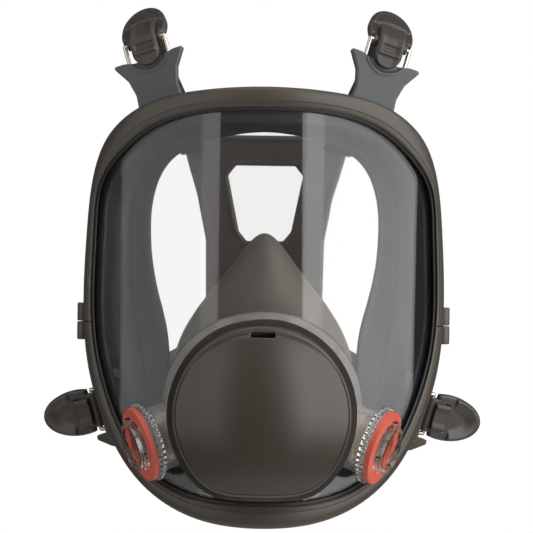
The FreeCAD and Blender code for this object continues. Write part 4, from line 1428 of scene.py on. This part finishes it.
@dataclass
class Buckle:
    """A finger buckle on its wire bail, the seal's tab that holds it, and the strap through it."""

    finishes: Finishes
    corner: Corner
    side: Side
    barrel_r: float = 2.6
    barrel_half: float = 8.9
    leaf_half: float = 12.0
    leaf_length: float = 30.0
    widest_at: float = 10.0
    shoulder_at: float = 3.0
    leaf_t: float = 4.4
    leaf_crown: float = 4.2
    slot_at: float = 9.0
    slot_half: float = 7.4
    slot_reach: float = 1.5
    strap_t: float = 2.2
    strap_half: float = 7.0
    strap_low: float = 2.9
    tab_t: float = 4.0
    tail_end: float = 13.0
    loop_start: float = 1.4
    loop_below: float = 0.8
    arm_gap: float = 0.15
    arm_straight: float = 4.0
    arm_twist_at: float = 0.35
    arm_flare: float = 1.5
    arm_rail: float = 0.3
    arm_rail_in: float = 1.8
    rail_height: float = 0.35
    rail_in: float = 1.7
    face_sunk: float = 0.25
    tab_dip: float = 1.2
    tab_dip_run: float = 6.0
    tab_round: float = 0.9
    tail_margin: float = 2.2
    tail_bead: float = 0.55
    tail_bead_out: float = 0.8
    tail_sunk: float = 0.7
    rib_outline: tuple[Pair, ...] = ((18.5, -20.0), (16.6, -7.5), (15.2, -4.5), (13.8, -7.5), (15.0, -20.0))
    rib_t: float = 1.0
    rib_sunk: float = 0.4
    rim_height: float = 1.7
    bowl_depth: float = 1.9
    grip_height: float = 0.25
    grip_at: float = 22.0
    grip_turns: float = 2.1
    step_height: float = 0.8
    groove_depth: float = 0.5
    groove_in: float = 3.4
    ridge_height: float = 1.0
    pocket_depth: float = 0.6
    bend_out: float = 3.5
    bend_on_tab: float = 3.5
    bend_on_leaf: float = 2.5
    bend_from: float = 34.0
    bend_to: float = 4.0
    pad_y: float = 88.0

    @property
    def word(self) -> str:
        """The buckle's words in node names."""
        return f"{self.corner.value}_{self.side.label}"

    @property
    def sizes(self) -> BuckleSizes:
        """The row's own sizes."""
        return BUCKLES[self.corner]

    @property
    def leaf_axes(self) -> Axes:
        """Axes of the finger leaf at its pin."""
        return Axes.from_bar(self.sizes.pin, self.sizes.bar, self.sizes.leaf_way).on(self.side)

    @property
    def tab_axes(self) -> Axes:
        """Axes of the tab at the same pin."""
        return Axes.from_bar(self.sizes.pin, self.sizes.bar, self.sizes.tab_way).on(self.side)

    @property
    def body(self) -> str:
        """The body that the leaf moves with."""
        return f"leaf_{self.word}"

    def leaf_width(self, y: float) -> float:
        """Half width of the leaf along its length: the pin barrel, a shoulder, then an oval finger plate."""
        if y < self.shoulder_at:
            return self.barrel_half
        run = (y - self.widest_at) / (self.leaf_length - self.widest_at)
        return self.leaf_half * math.sqrt(max(1 - run**2, 0.0))

    def leaf_edge(self, x: float, y: float) -> float:
        """Rough distance from a place on the leaf to its outline."""
        if y < self.widest_at:
            flank = self.leaf_width(y) - abs(x)
            beside_barrel = abs(x) > self.barrel_half and y >= self.shoulder_at
            return min(flank, y - self.shoulder_at) if beside_barrel else flank
        run = (y - self.widest_at) / (self.leaf_length - self.widest_at)
        return (1 - math.hypot(abs(x) / self.leaf_half, run)) * self.leaf_half

    def leaf_top(self, x: float, y: float) -> float:
        """Height of the leaf's front: barrel, flat by the slot, then a stepped dome or a rimmed dish."""
        barrel = math.sqrt(max(self.barrel_r**2 - y**2, 0.0)) if y < self.barrel_r else 0.0
        edge = self.leaf_edge(x, y)
        base = rounded(edge, self.leaf_t / 2, 1.0)
        if y < 0:
            return barrel
        finger = soft_step(y, self.slot_at + 3.2, self.slot_at + 4.6)
        if self.sizes.dished:
            rim = soft_step(edge, 0.2, 1.2) * self.rim_height
            bowl = soft_step(edge, 1.8, 6.5) * self.bowl_depth
            wave = max(0.0, math.cos((y - self.grip_at) * self.grip_turns))
            grip = self.grip_height * wave * soft_step(edge, 4.0, 6.0)
            return max(barrel, base + finger * (rim - bowl + grip))
        step = soft_step(edge, 1.3, 2.0) * self.step_height
        crown = soft_step(edge, 1.5, 10.0) * (self.leaf_crown - self.leaf_t / 2 - self.step_height)
        groove = self.groove_depth * (1 - soft_step(abs(edge - self.groove_in), 0.2, 0.7))
        return max(barrel, base + finger * (step + crown - groove))

    def leaf_bottom(self, x: float, y: float) -> float:
        """Height of the leaf's back."""
        if y < 0:
            return -math.sqrt(max(self.barrel_r**2 - y**2, 0.0))
        barrel = math.sqrt(max(self.barrel_r**2 - y**2, 0.0)) if y < self.barrel_r else 0.0
        return -max(barrel, rounded(self.leaf_edge(x, y), self.leaf_t / 2, 0.7))

    def leaf(self) -> bpy.types.Object:
        """The finger leaf with its pin barrel and strap slot."""
        r = self.barrel_r
        slot = (self.slot_at - self.slot_reach, self.slot_at + self.slot_reach)
        rows = [-r * math.cos(math.pi / 2 * i / 6) for i in range(6)]
        rows += [0.8 * i for i in range(13)] + [slot[0] - 0.3, slot[0], slot[1], slot[1] + 0.3]
        rows += [self.shoulder_at - 0.02, self.shoulder_at, self.shoulder_at + 0.35, self.shoulder_at + 0.9]
        rows += [self.slot_at + 2 + 0.35 * i for i in range(10)]
        start = rows[-1]
        rows += [start + (self.leaf_length - start) * math.sin(math.pi / 2 * i / 22) for i in range(1, 23)]
        plate = Plate(
            sorted(set(round(y, 4) for y in rows)), self.leaf_width, self.leaf_top, self.leaf_bottom, 36,
            lambda y: min(self.slot_half, 0.8 * self.leaf_width(y)), slot,
        )  # fmt: skip
        return plate.build(f"finger_leaf_{self.word}", self.leaf_axes.point)

    def tab_width(self, y: float) -> float:
        """Half width of the tab along its length."""
        half = sorted(self.sizes.tab_outline, key=lambda p: p[1])
        return float(np.interp(y, [p[1] for p in half], [p[0] for p in half]))

    def wing(self) -> bpy.types.Object:
        """The lower tab, a stiff wing behind the wire with rounded edges and a raised rib along it."""
        axes = self.tab_axes
        half = self.tab_t / 2
        slab_back = [axes.point(x, y, -half) for x, y in self.sizes.tab_outline]
        rib_back = [axes.point(x, y, half - self.rib_sunk) for x, y in self.rib_outline]
        slab = prism("wing_slab", slab_back, axes.z * self.tab_t)
        rib = prism("wing_rib", rib_back, axes.z * self.rib_t)
        return soften_edges(join(f"seal_tab_{self.word}", [slab, rib]), 0.7, 3)

    def tab(self) -> bpy.types.Object:
        """The rubber tab: a fishtail with a moulded ring round the strap's end and thin beaded edges."""
        low = min(y for _, y in self.sizes.tab_outline)
        high = max(y for _, y in self.sizes.tab_outline)
        ring_at = -self.tail_end + self.strap_half
        ring_r = self.strap_half + self.tail_margin
        axes = self.tab_axes

        def top(x: float, y: float) -> float:
            """Height of the tab's front."""
            edge = min(self.tab_width(y) - abs(x), high - y)
            away = math.hypot(x, y - ring_at)
            face = rounded(edge, self.tab_t / 2, self.tab_round)
            bead = 1 - soft_step(abs(away - ring_r - self.tail_bead_out), 0.3, 0.9)
            face += self.tail_bead * bead * soft_step(edge, 0.4, 1.2)
            return face - self.tail_sunk * (1 - soft_step(away, ring_r - 0.5, ring_r))

        def bottom(x: float, y: float) -> float:
            """Height of the tab's back."""
            return -rounded(min(self.tab_width(y) - abs(x), high - y), self.tab_t / 2, self.tab_round)

        def place(x: float, y: float, z: float) -> Vector:
            """A place on the tab, whose top edge dips between its horns."""
            middle = 1 - soft_step(abs(x), 8.0, 14.0)
            return axes.point(x, y - self.tab_dip * middle * soft_step(y, high - self.tab_dip_run, high), z)

        rows = list(np.linspace(low, high - 2.0, 34)) + [high - 1.5, high - 1.0, high - 0.6, high - 0.3, high]
        return Plate(rows, self.tab_width, top, bottom, 40).build(f"seal_tab_{self.word}", place)

    def strap_route(self) -> Route:
        """The strap's end: down through the slot, forwards over the leaf and, above, on to the tab."""
        leaf, tab = self.leaf_axes, self.tab_axes
        run = self.strap_low + self.strap_t / 2
        under = -self.leaf_t / 2 - self.loop_below
        anchors = [
            leaf.point(0, self.slot_at, under),
            leaf.point(0, self.slot_at, 0.0),
            leaf.point(0, self.slot_at, run - 1.0),
            leaf.point(0, self.slot_at - 0.4, run - 0.1),
            leaf.point(0, self.slot_at - 1.6, run),
            leaf.point(0, 6.0, run),
            leaf.point(0, self.loop_start, run),
        ]
        if self.corner is Corner.UPPER:
            low = self.tab_t / 2 + 0.3 + self.strap_t / 2
            anchors[-1] = leaf.point(0, 2.4, run)
            anchors += [
                (leaf.point(0, 0, run + 0.1) + tab.point(0, 0, run + 0.1)) / 2,
                tab.point(0, -2.4, low + 0.4),
                tab.point(0, -5.0, low),
                tab.point(0, -self.tail_end, low),
            ]
        return self.route(anchors, [leaf.x] * len(anchors))

    def route(self, anchors: list[Vector], across: list[Vector]) -> Route:
        """A smooth route through anchors, with the strap's face outwards."""
        count = 14
        points: list[Vector] = []
        wide: list[Vector] = []
        last = len(anchors) - 1
        for i in range(last):
            a, b = anchors[i], anchors[i + 1]
            before = anchors[i - 1] if i else a
            after = anchors[i + 2] if i + 2 <= last else b
            reach = (b - a).length
            slope_a = (b - before) * (reach / max((b - before).length, 1e-6))
            slope_b = (after - a) * (reach / max((after - a).length, 1e-6))
            for step in range(count):
                t = step / count
                points.append(
                    a * ((1 + 2 * t) * (1 - t) ** 2) + slope_a * (t * (1 - t) ** 2)
                    + b * (t * t * (3 - 2 * t)) + slope_b * (t * t * (t - 1))
                )  # fmt: skip
                wide.append(across[i].lerp(across[i + 1], t))
        points.append(anchors[-1])
        wide.append(across[-1])
        return Route(points, wide)

    def strap_face(self, half: float, thickness: float) -> Callable[[float, float], float]:
        """Height of a strap's face: rounded edges, a raised rail at each side and a sunk middle."""

        def face(x: float, _y: float) -> float:
            """Height at one place."""
            rail = self.rail_height * (1 - soft_step(abs(half - self.rail_in - abs(x)), 0.3, 0.9))
            sunk = self.face_sunk * (1 - soft_step(abs(x), half - 4.0, half - 3.0))
            return rounded(half - abs(x), thickness / 2, 0.7) + rail - sunk

        return face

    def strap_end(self) -> bpy.types.Object:
        """The visible end of the strap."""
        route = self.strap_route()
        length = route.length
        upper = self.corner is Corner.UPPER

        def width(y: float) -> float:
            """Half width, round at the end of the tail."""
            left = length - y
            if not upper or left >= self.strap_half:
                return self.strap_half
            return math.sqrt(max(self.strap_half**2 - (self.strap_half - left) ** 2, 0.0))

        side = -1 if self.outward_is_negative(route) else 1
        rail = self.strap_face(self.strap_half, self.strap_t)

        def outer(x: float, y: float) -> float:
            """The face that shows."""
            edge = min(width(y) - abs(x), length - y)
            height = min(rail(x, y), rounded(edge, self.strap_t / 2 + 0.3, 0.9))
            if upper:
                ridge = 1 - soft_step(abs(length - y - self.strap_half * 0.95), 0.5, 1.2)
                pocket = soft_step(length - y, 8.2, 8.8) * (1 - soft_step(length - y, 11.0, 11.6))
                height += self.ridge_height * ridge * soft_step(width(y) - abs(x), 1.0, 1.8)
                height -= self.pocket_depth * pocket * soft_step(width(y) - abs(x), 2.0, 2.6)
            return height

        def inner(x: float, y: float) -> float:
            """The face against the buckle."""
            return -rounded(min(width(y) - abs(x), length - y + 0.8), self.strap_t / 2, 0.5)

        rows = list(np.linspace(0, length - 3.0, 70))
        rows += [length - 3.0 + 3.0 * math.sin(math.pi / 2 * i / 10) for i in range(1, 11)]
        if side > 0:
            plate = Plate(rows, width, outer, inner, 28)
        else:
            plate = Plate(rows, width, lambda x, y: -inner(x, y), lambda x, y: -outer(x, y), 28)
        return plate.build(f"strap_end_{self.word}", route.place)

    def outward_is_negative(self, route: Route) -> bool:
        """True if the route's own normal faces away from the viewer's side of the buckle."""
        middle = route.length * 0.6
        normal = route.place(0, middle, 1) - route.place(0, middle, 0)
        return normal.dot(self.leaf_axes.z) < 0

    def arm(self) -> tuple[bpy.types.Object, Vector, Vector]:
        """The harness arm from under the slot to the pad.

        Returns:
            The piece, the place where it starts to follow the harness, and the place at the slot.
        """
        leaf = self.leaf_axes
        flip = self.side.value
        top = -self.leaf_t / 2 - self.loop_below - self.arm_gap
        target = Vector((flip * self.sizes.arm_end[0], self.pad_y - 0.3, self.sizes.arm_end[1]))
        first = leaf.point(0, self.slot_at, top)
        second = leaf.point(0, self.slot_at, top - self.arm_straight)
        third = second.lerp(target, self.arm_twist_at)
        end_across = Vector(self.sizes.arm_across)
        end_across.x *= flip
        end_across.normalize()
        start_across = leaf.x if leaf.x.dot(end_across) >= 0 else -leaf.x
        middle_across = (start_across + end_across).normalized()
        route = self.route(
            [first, second, second.lerp(third, 0.5), third, third.lerp(target, 0.5), target],
            [start_across, start_across, start_across.lerp(middle_across, 0.5), middle_across,
             middle_across.lerp(end_across, 0.5), end_across],
        )  # fmt: skip
        length = route.length

        def width(y: float) -> float:
            """Half width, growing towards the pad."""
            return self.strap_half + self.arm_flare * soft_step(y, 5.0, length)

        def face(x: float, y: float) -> float:
            """Height of either face."""
            rail = self.arm_rail * (1 - soft_step(abs(width(y) - self.arm_rail_in - abs(x)), 0.4, 1.0))
            return rounded(min(width(y) - abs(x), y + 0.6), self.strap_t / 2 - 0.1, 0.6) + rail - 0.1

        rows = list(np.linspace(0, length, 60))
        plate = Plate(rows, width, face, lambda x, y: -face(x, y), 22)
        piece = plate.build(f"strap_arm_{self.word}", route.place)
        return piece, route.place(0, self.bend_from, 0), route.place(0, self.bend_to, 0)

    def build(self) -> None:
        """Makes the leaf, tab and strap and dresses the bail."""
        word = self.word
        leaf_axes, tab_axes = self.leaf_axes, self.tab_axes
        dress(self.leaf(), self.finishes.buckle_nylon, self.body, [f"buckle_leaf_{word}"])
        if self.corner is Corner.UPPER:
            dress(self.tab(), self.finishes.seal_silicone, stands_for=[f"buckle_tab_{word}"])
        else:
            dress(self.wing(), self.finishes.frame_nylon, stands_for=[f"buckle_tab_{word}"])
        dress_node(f"bail_{word}", self.finishes.steel)
        strap = self.strap_end()
        finish = self.finishes.harness_rubber
        if self.corner is Corner.UPPER:
            on_tab = tab_axes.point(0, -self.bend_on_tab, self.bend_out)
            self.blended(strap, on_tab, leaf_axes.point(0, self.bend_on_leaf, self.bend_out))
            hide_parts(f"strap_loop_{word}", f"strap_tail_{word}")
        else:
            dress(strap, finish, self.body, [f"strap_loop_{word}"])
        arm, rear, slot = self.arm()
        self.blended(arm, rear, slot)
        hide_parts(f"harness_arm_{word}")

    def blended(self, piece: bpy.types.Object, start: Vector, end: Vector) -> None:
        """Gives a strap its finish and bakes its placement into its mesh."""
        piece.data.materials.clear()
        piece.data.materials.append(self.finishes.harness_rubber)
        self.body
        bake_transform(piece)
        log.info("%s bends from root to %s", piece.name, self.body)


@dataclass
class HarnessPad:
    """The flat rubber pad behind the head, with its window and raised rails."""

    finishes: Finishes
    front_y: float = 88.0
    thickness: float = 3.0
    rail_height: float = 0.5
    edge_round: float = 0.6
    half: tuple[Pair, ...] = (
        (44, 75), (48, 70), (38.5, 38), (34, 15), (33.5, -19), (37, -52), (31, -62),
    )  # fmt: skip
    window: tuple[Pair, ...] = ((17, 57.6), (21.5, 52), (15, 20), (10.5, 14.6))

    def width(self, z: float) -> float:
        """Half width at a height."""
        return float(np.interp(z, [p[1] for p in self.half[::-1]], [p[0] for p in self.half[::-1]]))

    def window_width(self, z: float) -> float:
        """Half width of the window at a height, and its end widths above and below it."""
        return float(np.interp(z, [p[1] for p in self.window[::-1]], [p[0] for p in self.window[::-1]]))

    def build(self) -> None:
        """Makes the pad."""
        low, high = self.half[-1][1], self.half[0][1]
        window = (self.window[-1][1], self.window[0][1])

        def face(x: float, z: float) -> float:
            """Height of either face from the middle of the pad."""
            edge = min(self.width(z) - abs(x), high - z, z - low)
            inside = window[0] - 2 < z < window[1] + 2
            hole = max(abs(x) - self.window_width(z), window[0] - z, z - window[1]) if inside else 9.0
            near = min(edge, max(hole, 0.0))
            rail = self.rail_height * soft_step(near, 0.6, 1.2) * (1 - soft_step(near, 2.6, 3.2))
            return rounded(near, self.thickness / 2 - self.rail_height, self.edge_round) + rail

        rows = sorted(
            {round(float(z), 3) for z in np.linspace(low + 1.2, high - 1.2, 110)}
            | {low, low + 0.2, low + 0.6, high, high - 0.2, high - 0.6, window[0], window[1]}
            | {window[0] - 0.3, window[1] + 0.3}
        )
        plate = Plate(
            rows, self.width, face, lambda x, z: -face(x, z), 56, self.window_width, (window[0], window[1])
        )
        middle_y = self.front_y + self.thickness / 2

        def place(x: float, y: float, z: float) -> Vector:
            """Stands the plate upright behind the head."""
            return Vector((x, middle_y - z, y))

        pad = plate.build("harness_ladder_pad", place)
        dress(pad, self.finishes.harness_rubber, stands_for=["harness_pad"])


# ------------------------------------------------------------------ studio


@dataclass(frozen=True)
class Softbox:
    """A soft panel lamp that faces the mask."""

    name: str
    azimuth_deg: float
    elevation_deg: float
    distance: float
    width: float
    height: float
    watts: float
    colour: str = "#ffffff"


@dataclass
class Studio:
    """Camera, pale floor and soft lamps."""

    camera_x: float = 0.0012
    camera_distance: float = 1.080
    lens: float = 137.8
    sensor: float = 36.0
    roll_deg: float = -0.8
    floor_z: float = -0.60
    floor_radius: float = 0.6
    room_colour: str = "#8c8c8e"
    room_strength: float = 0.35
    boxes: tuple[Softbox, ...] = (
        Softbox("lamp_left", -58.0, 12.0, 1.2, 1.5, 1.6, 7.5),
        Softbox("lamp_right", 59.0, 16.0, 1.2, 1.9, 1.7, 29.0),
        Softbox("strip_left", -31.0, 4.0, 1.2, 0.22, 1.5, 0.8),
        Softbox("strip_right", 28.0, 4.0, 1.2, 0.22, 1.5, 1.5),
        Softbox("lamp_top", 0.0, 78.0, 1.5, 1.2, 1.2, 6.0),
    )

    def camera(self) -> None:
        """Sets the camera in front, level with the eyes."""
        data = bpy.data.cameras.new("camera")
        data.lens = self.lens
        data.sensor_width = self.sensor
        camera = bpy.data.objects.new("camera", data)
        turn = Matrix.Rotation(math.radians(self.roll_deg), 4, "Y") @ Matrix.Rotation(math.pi / 2, 4, "X")
        camera.matrix_world = Matrix.Translation((self.camera_x, -self.camera_distance, 0)) @ turn
        bpy.context.scene.collection.objects.link(camera)
        bpy.context.scene.camera = camera

    def lamps(self) -> None:
        """Hangs the lamps."""
        for box in self.boxes:
            data = bpy.data.lights.new(box.name, "AREA")
            data.shape = "RECTANGLE"
            data.size = box.width
            data.size_y = box.height
            data.energy = box.watts
            data.color = linear(box.colour)[:3]
            lamp = bpy.data.objects.new(box.name, data)
            azimuth, elevation = math.radians(box.azimuth_deg), math.radians(box.elevation_deg)
            way = Vector(
                (
                    math.sin(azimuth) * math.cos(elevation),
                    -math.cos(azimuth) * math.cos(elevation),
                    math.sin(elevation),
                )
            )
            turn = way.to_track_quat("Z", "Y").to_matrix().to_4x4()
            lamp.matrix_world = Matrix.Translation(way * box.distance) @ turn
            bpy.context.scene.collection.objects.link(lamp)

    def floor(self) -> None:
        """Lays a pale round floor with a rolled edge."""
        axes = Axes(Vector((0, 0, 0)), Vector((1, 0, 0)), Vector((0, 1, 0)), Vector((0, 0, 1)))
        height = self.floor_z / MM
        loops = []
        for radius, drop in ((0.3, 0), (0.7, 0), (0.95, 0), (0.99, -3), (1.0, -12)):
            reach = radius * self.floor_radius / MM
            loops.append(circle(axes, reach, height + drop, 96))
        floor = loft("studio_floor", loops, tips=(Vector((0, 0, height)), None))
        paper = Moulding("pale_paper_floor", "#e9e8e5", "#ecebe9", "#f2f1ef", 0.7, 1.5, 0.02, 120.0, 0.0)
        floor.data.materials.append(paper.material())

    def world(self) -> None:
        """A white backdrop to the eye and through glass, and a dim grey room in reflections."""
        world = bpy.data.worlds.new("studio_world")
        world.use_nodes = True
        tree = world.node_tree
        tree.nodes.clear()
        path = add_node(tree, "ShaderNodeLightPath")
        bounces = add_node(
            tree,
            "ShaderNodeMath",
            {0: path.outputs["Diffuse Depth"], 1: path.outputs["Glossy Depth"]},
            operation="ADD",
        )
        seen = add_node(tree, "ShaderNodeMath", {0: bounces.outputs[0], 1: 0.5}, operation="LESS_THAN")
        shown = add_node(tree, "ShaderNodeBackground", {"Color": linear("#ffffff"), "Strength": 1.0})
        grey = {"Color": linear(self.room_colour), "Strength": self.room_strength}
        room = add_node(tree, "ShaderNodeBackground", grey)
        mix = add_node(
            tree, "ShaderNodeMixShader", {0: seen.outputs[0], 1: room.outputs[0], 2: shown.outputs[0]}
        )
        add_node(tree, "ShaderNodeOutputWorld", {"Surface": mix.outputs[0]})
        bpy.context.scene.world = world

    def build(self) -> None:
        """Sets the whole studio."""
        self.camera()
        self.lamps()
        self.floor()
        self.world()
        bpy.context.scene.view_settings.view_transform = "Standard"


def main() -> None:
    """Builds the mask and its studio in order."""
    logging.basicConfig(level=logging.INFO, format="%(name)s: %(message)s")
    finishes = Finishes()
    Studio().build()
    FrameRing(finishes).build()
    Visor(finishes).build()
    FaceSeal(finishes).build()
    NoseCup(finishes).build()
    CentreUnit(finishes).build()
    for side in Side:
        FilterPort(finishes, side).build()
        for corner in Corner:
            Buckle(finishes, corner, side).build()
    HarnessPad(finishes).build()
    bpy.context.view_layer.update()


if __name__ == "__main__":
    main()
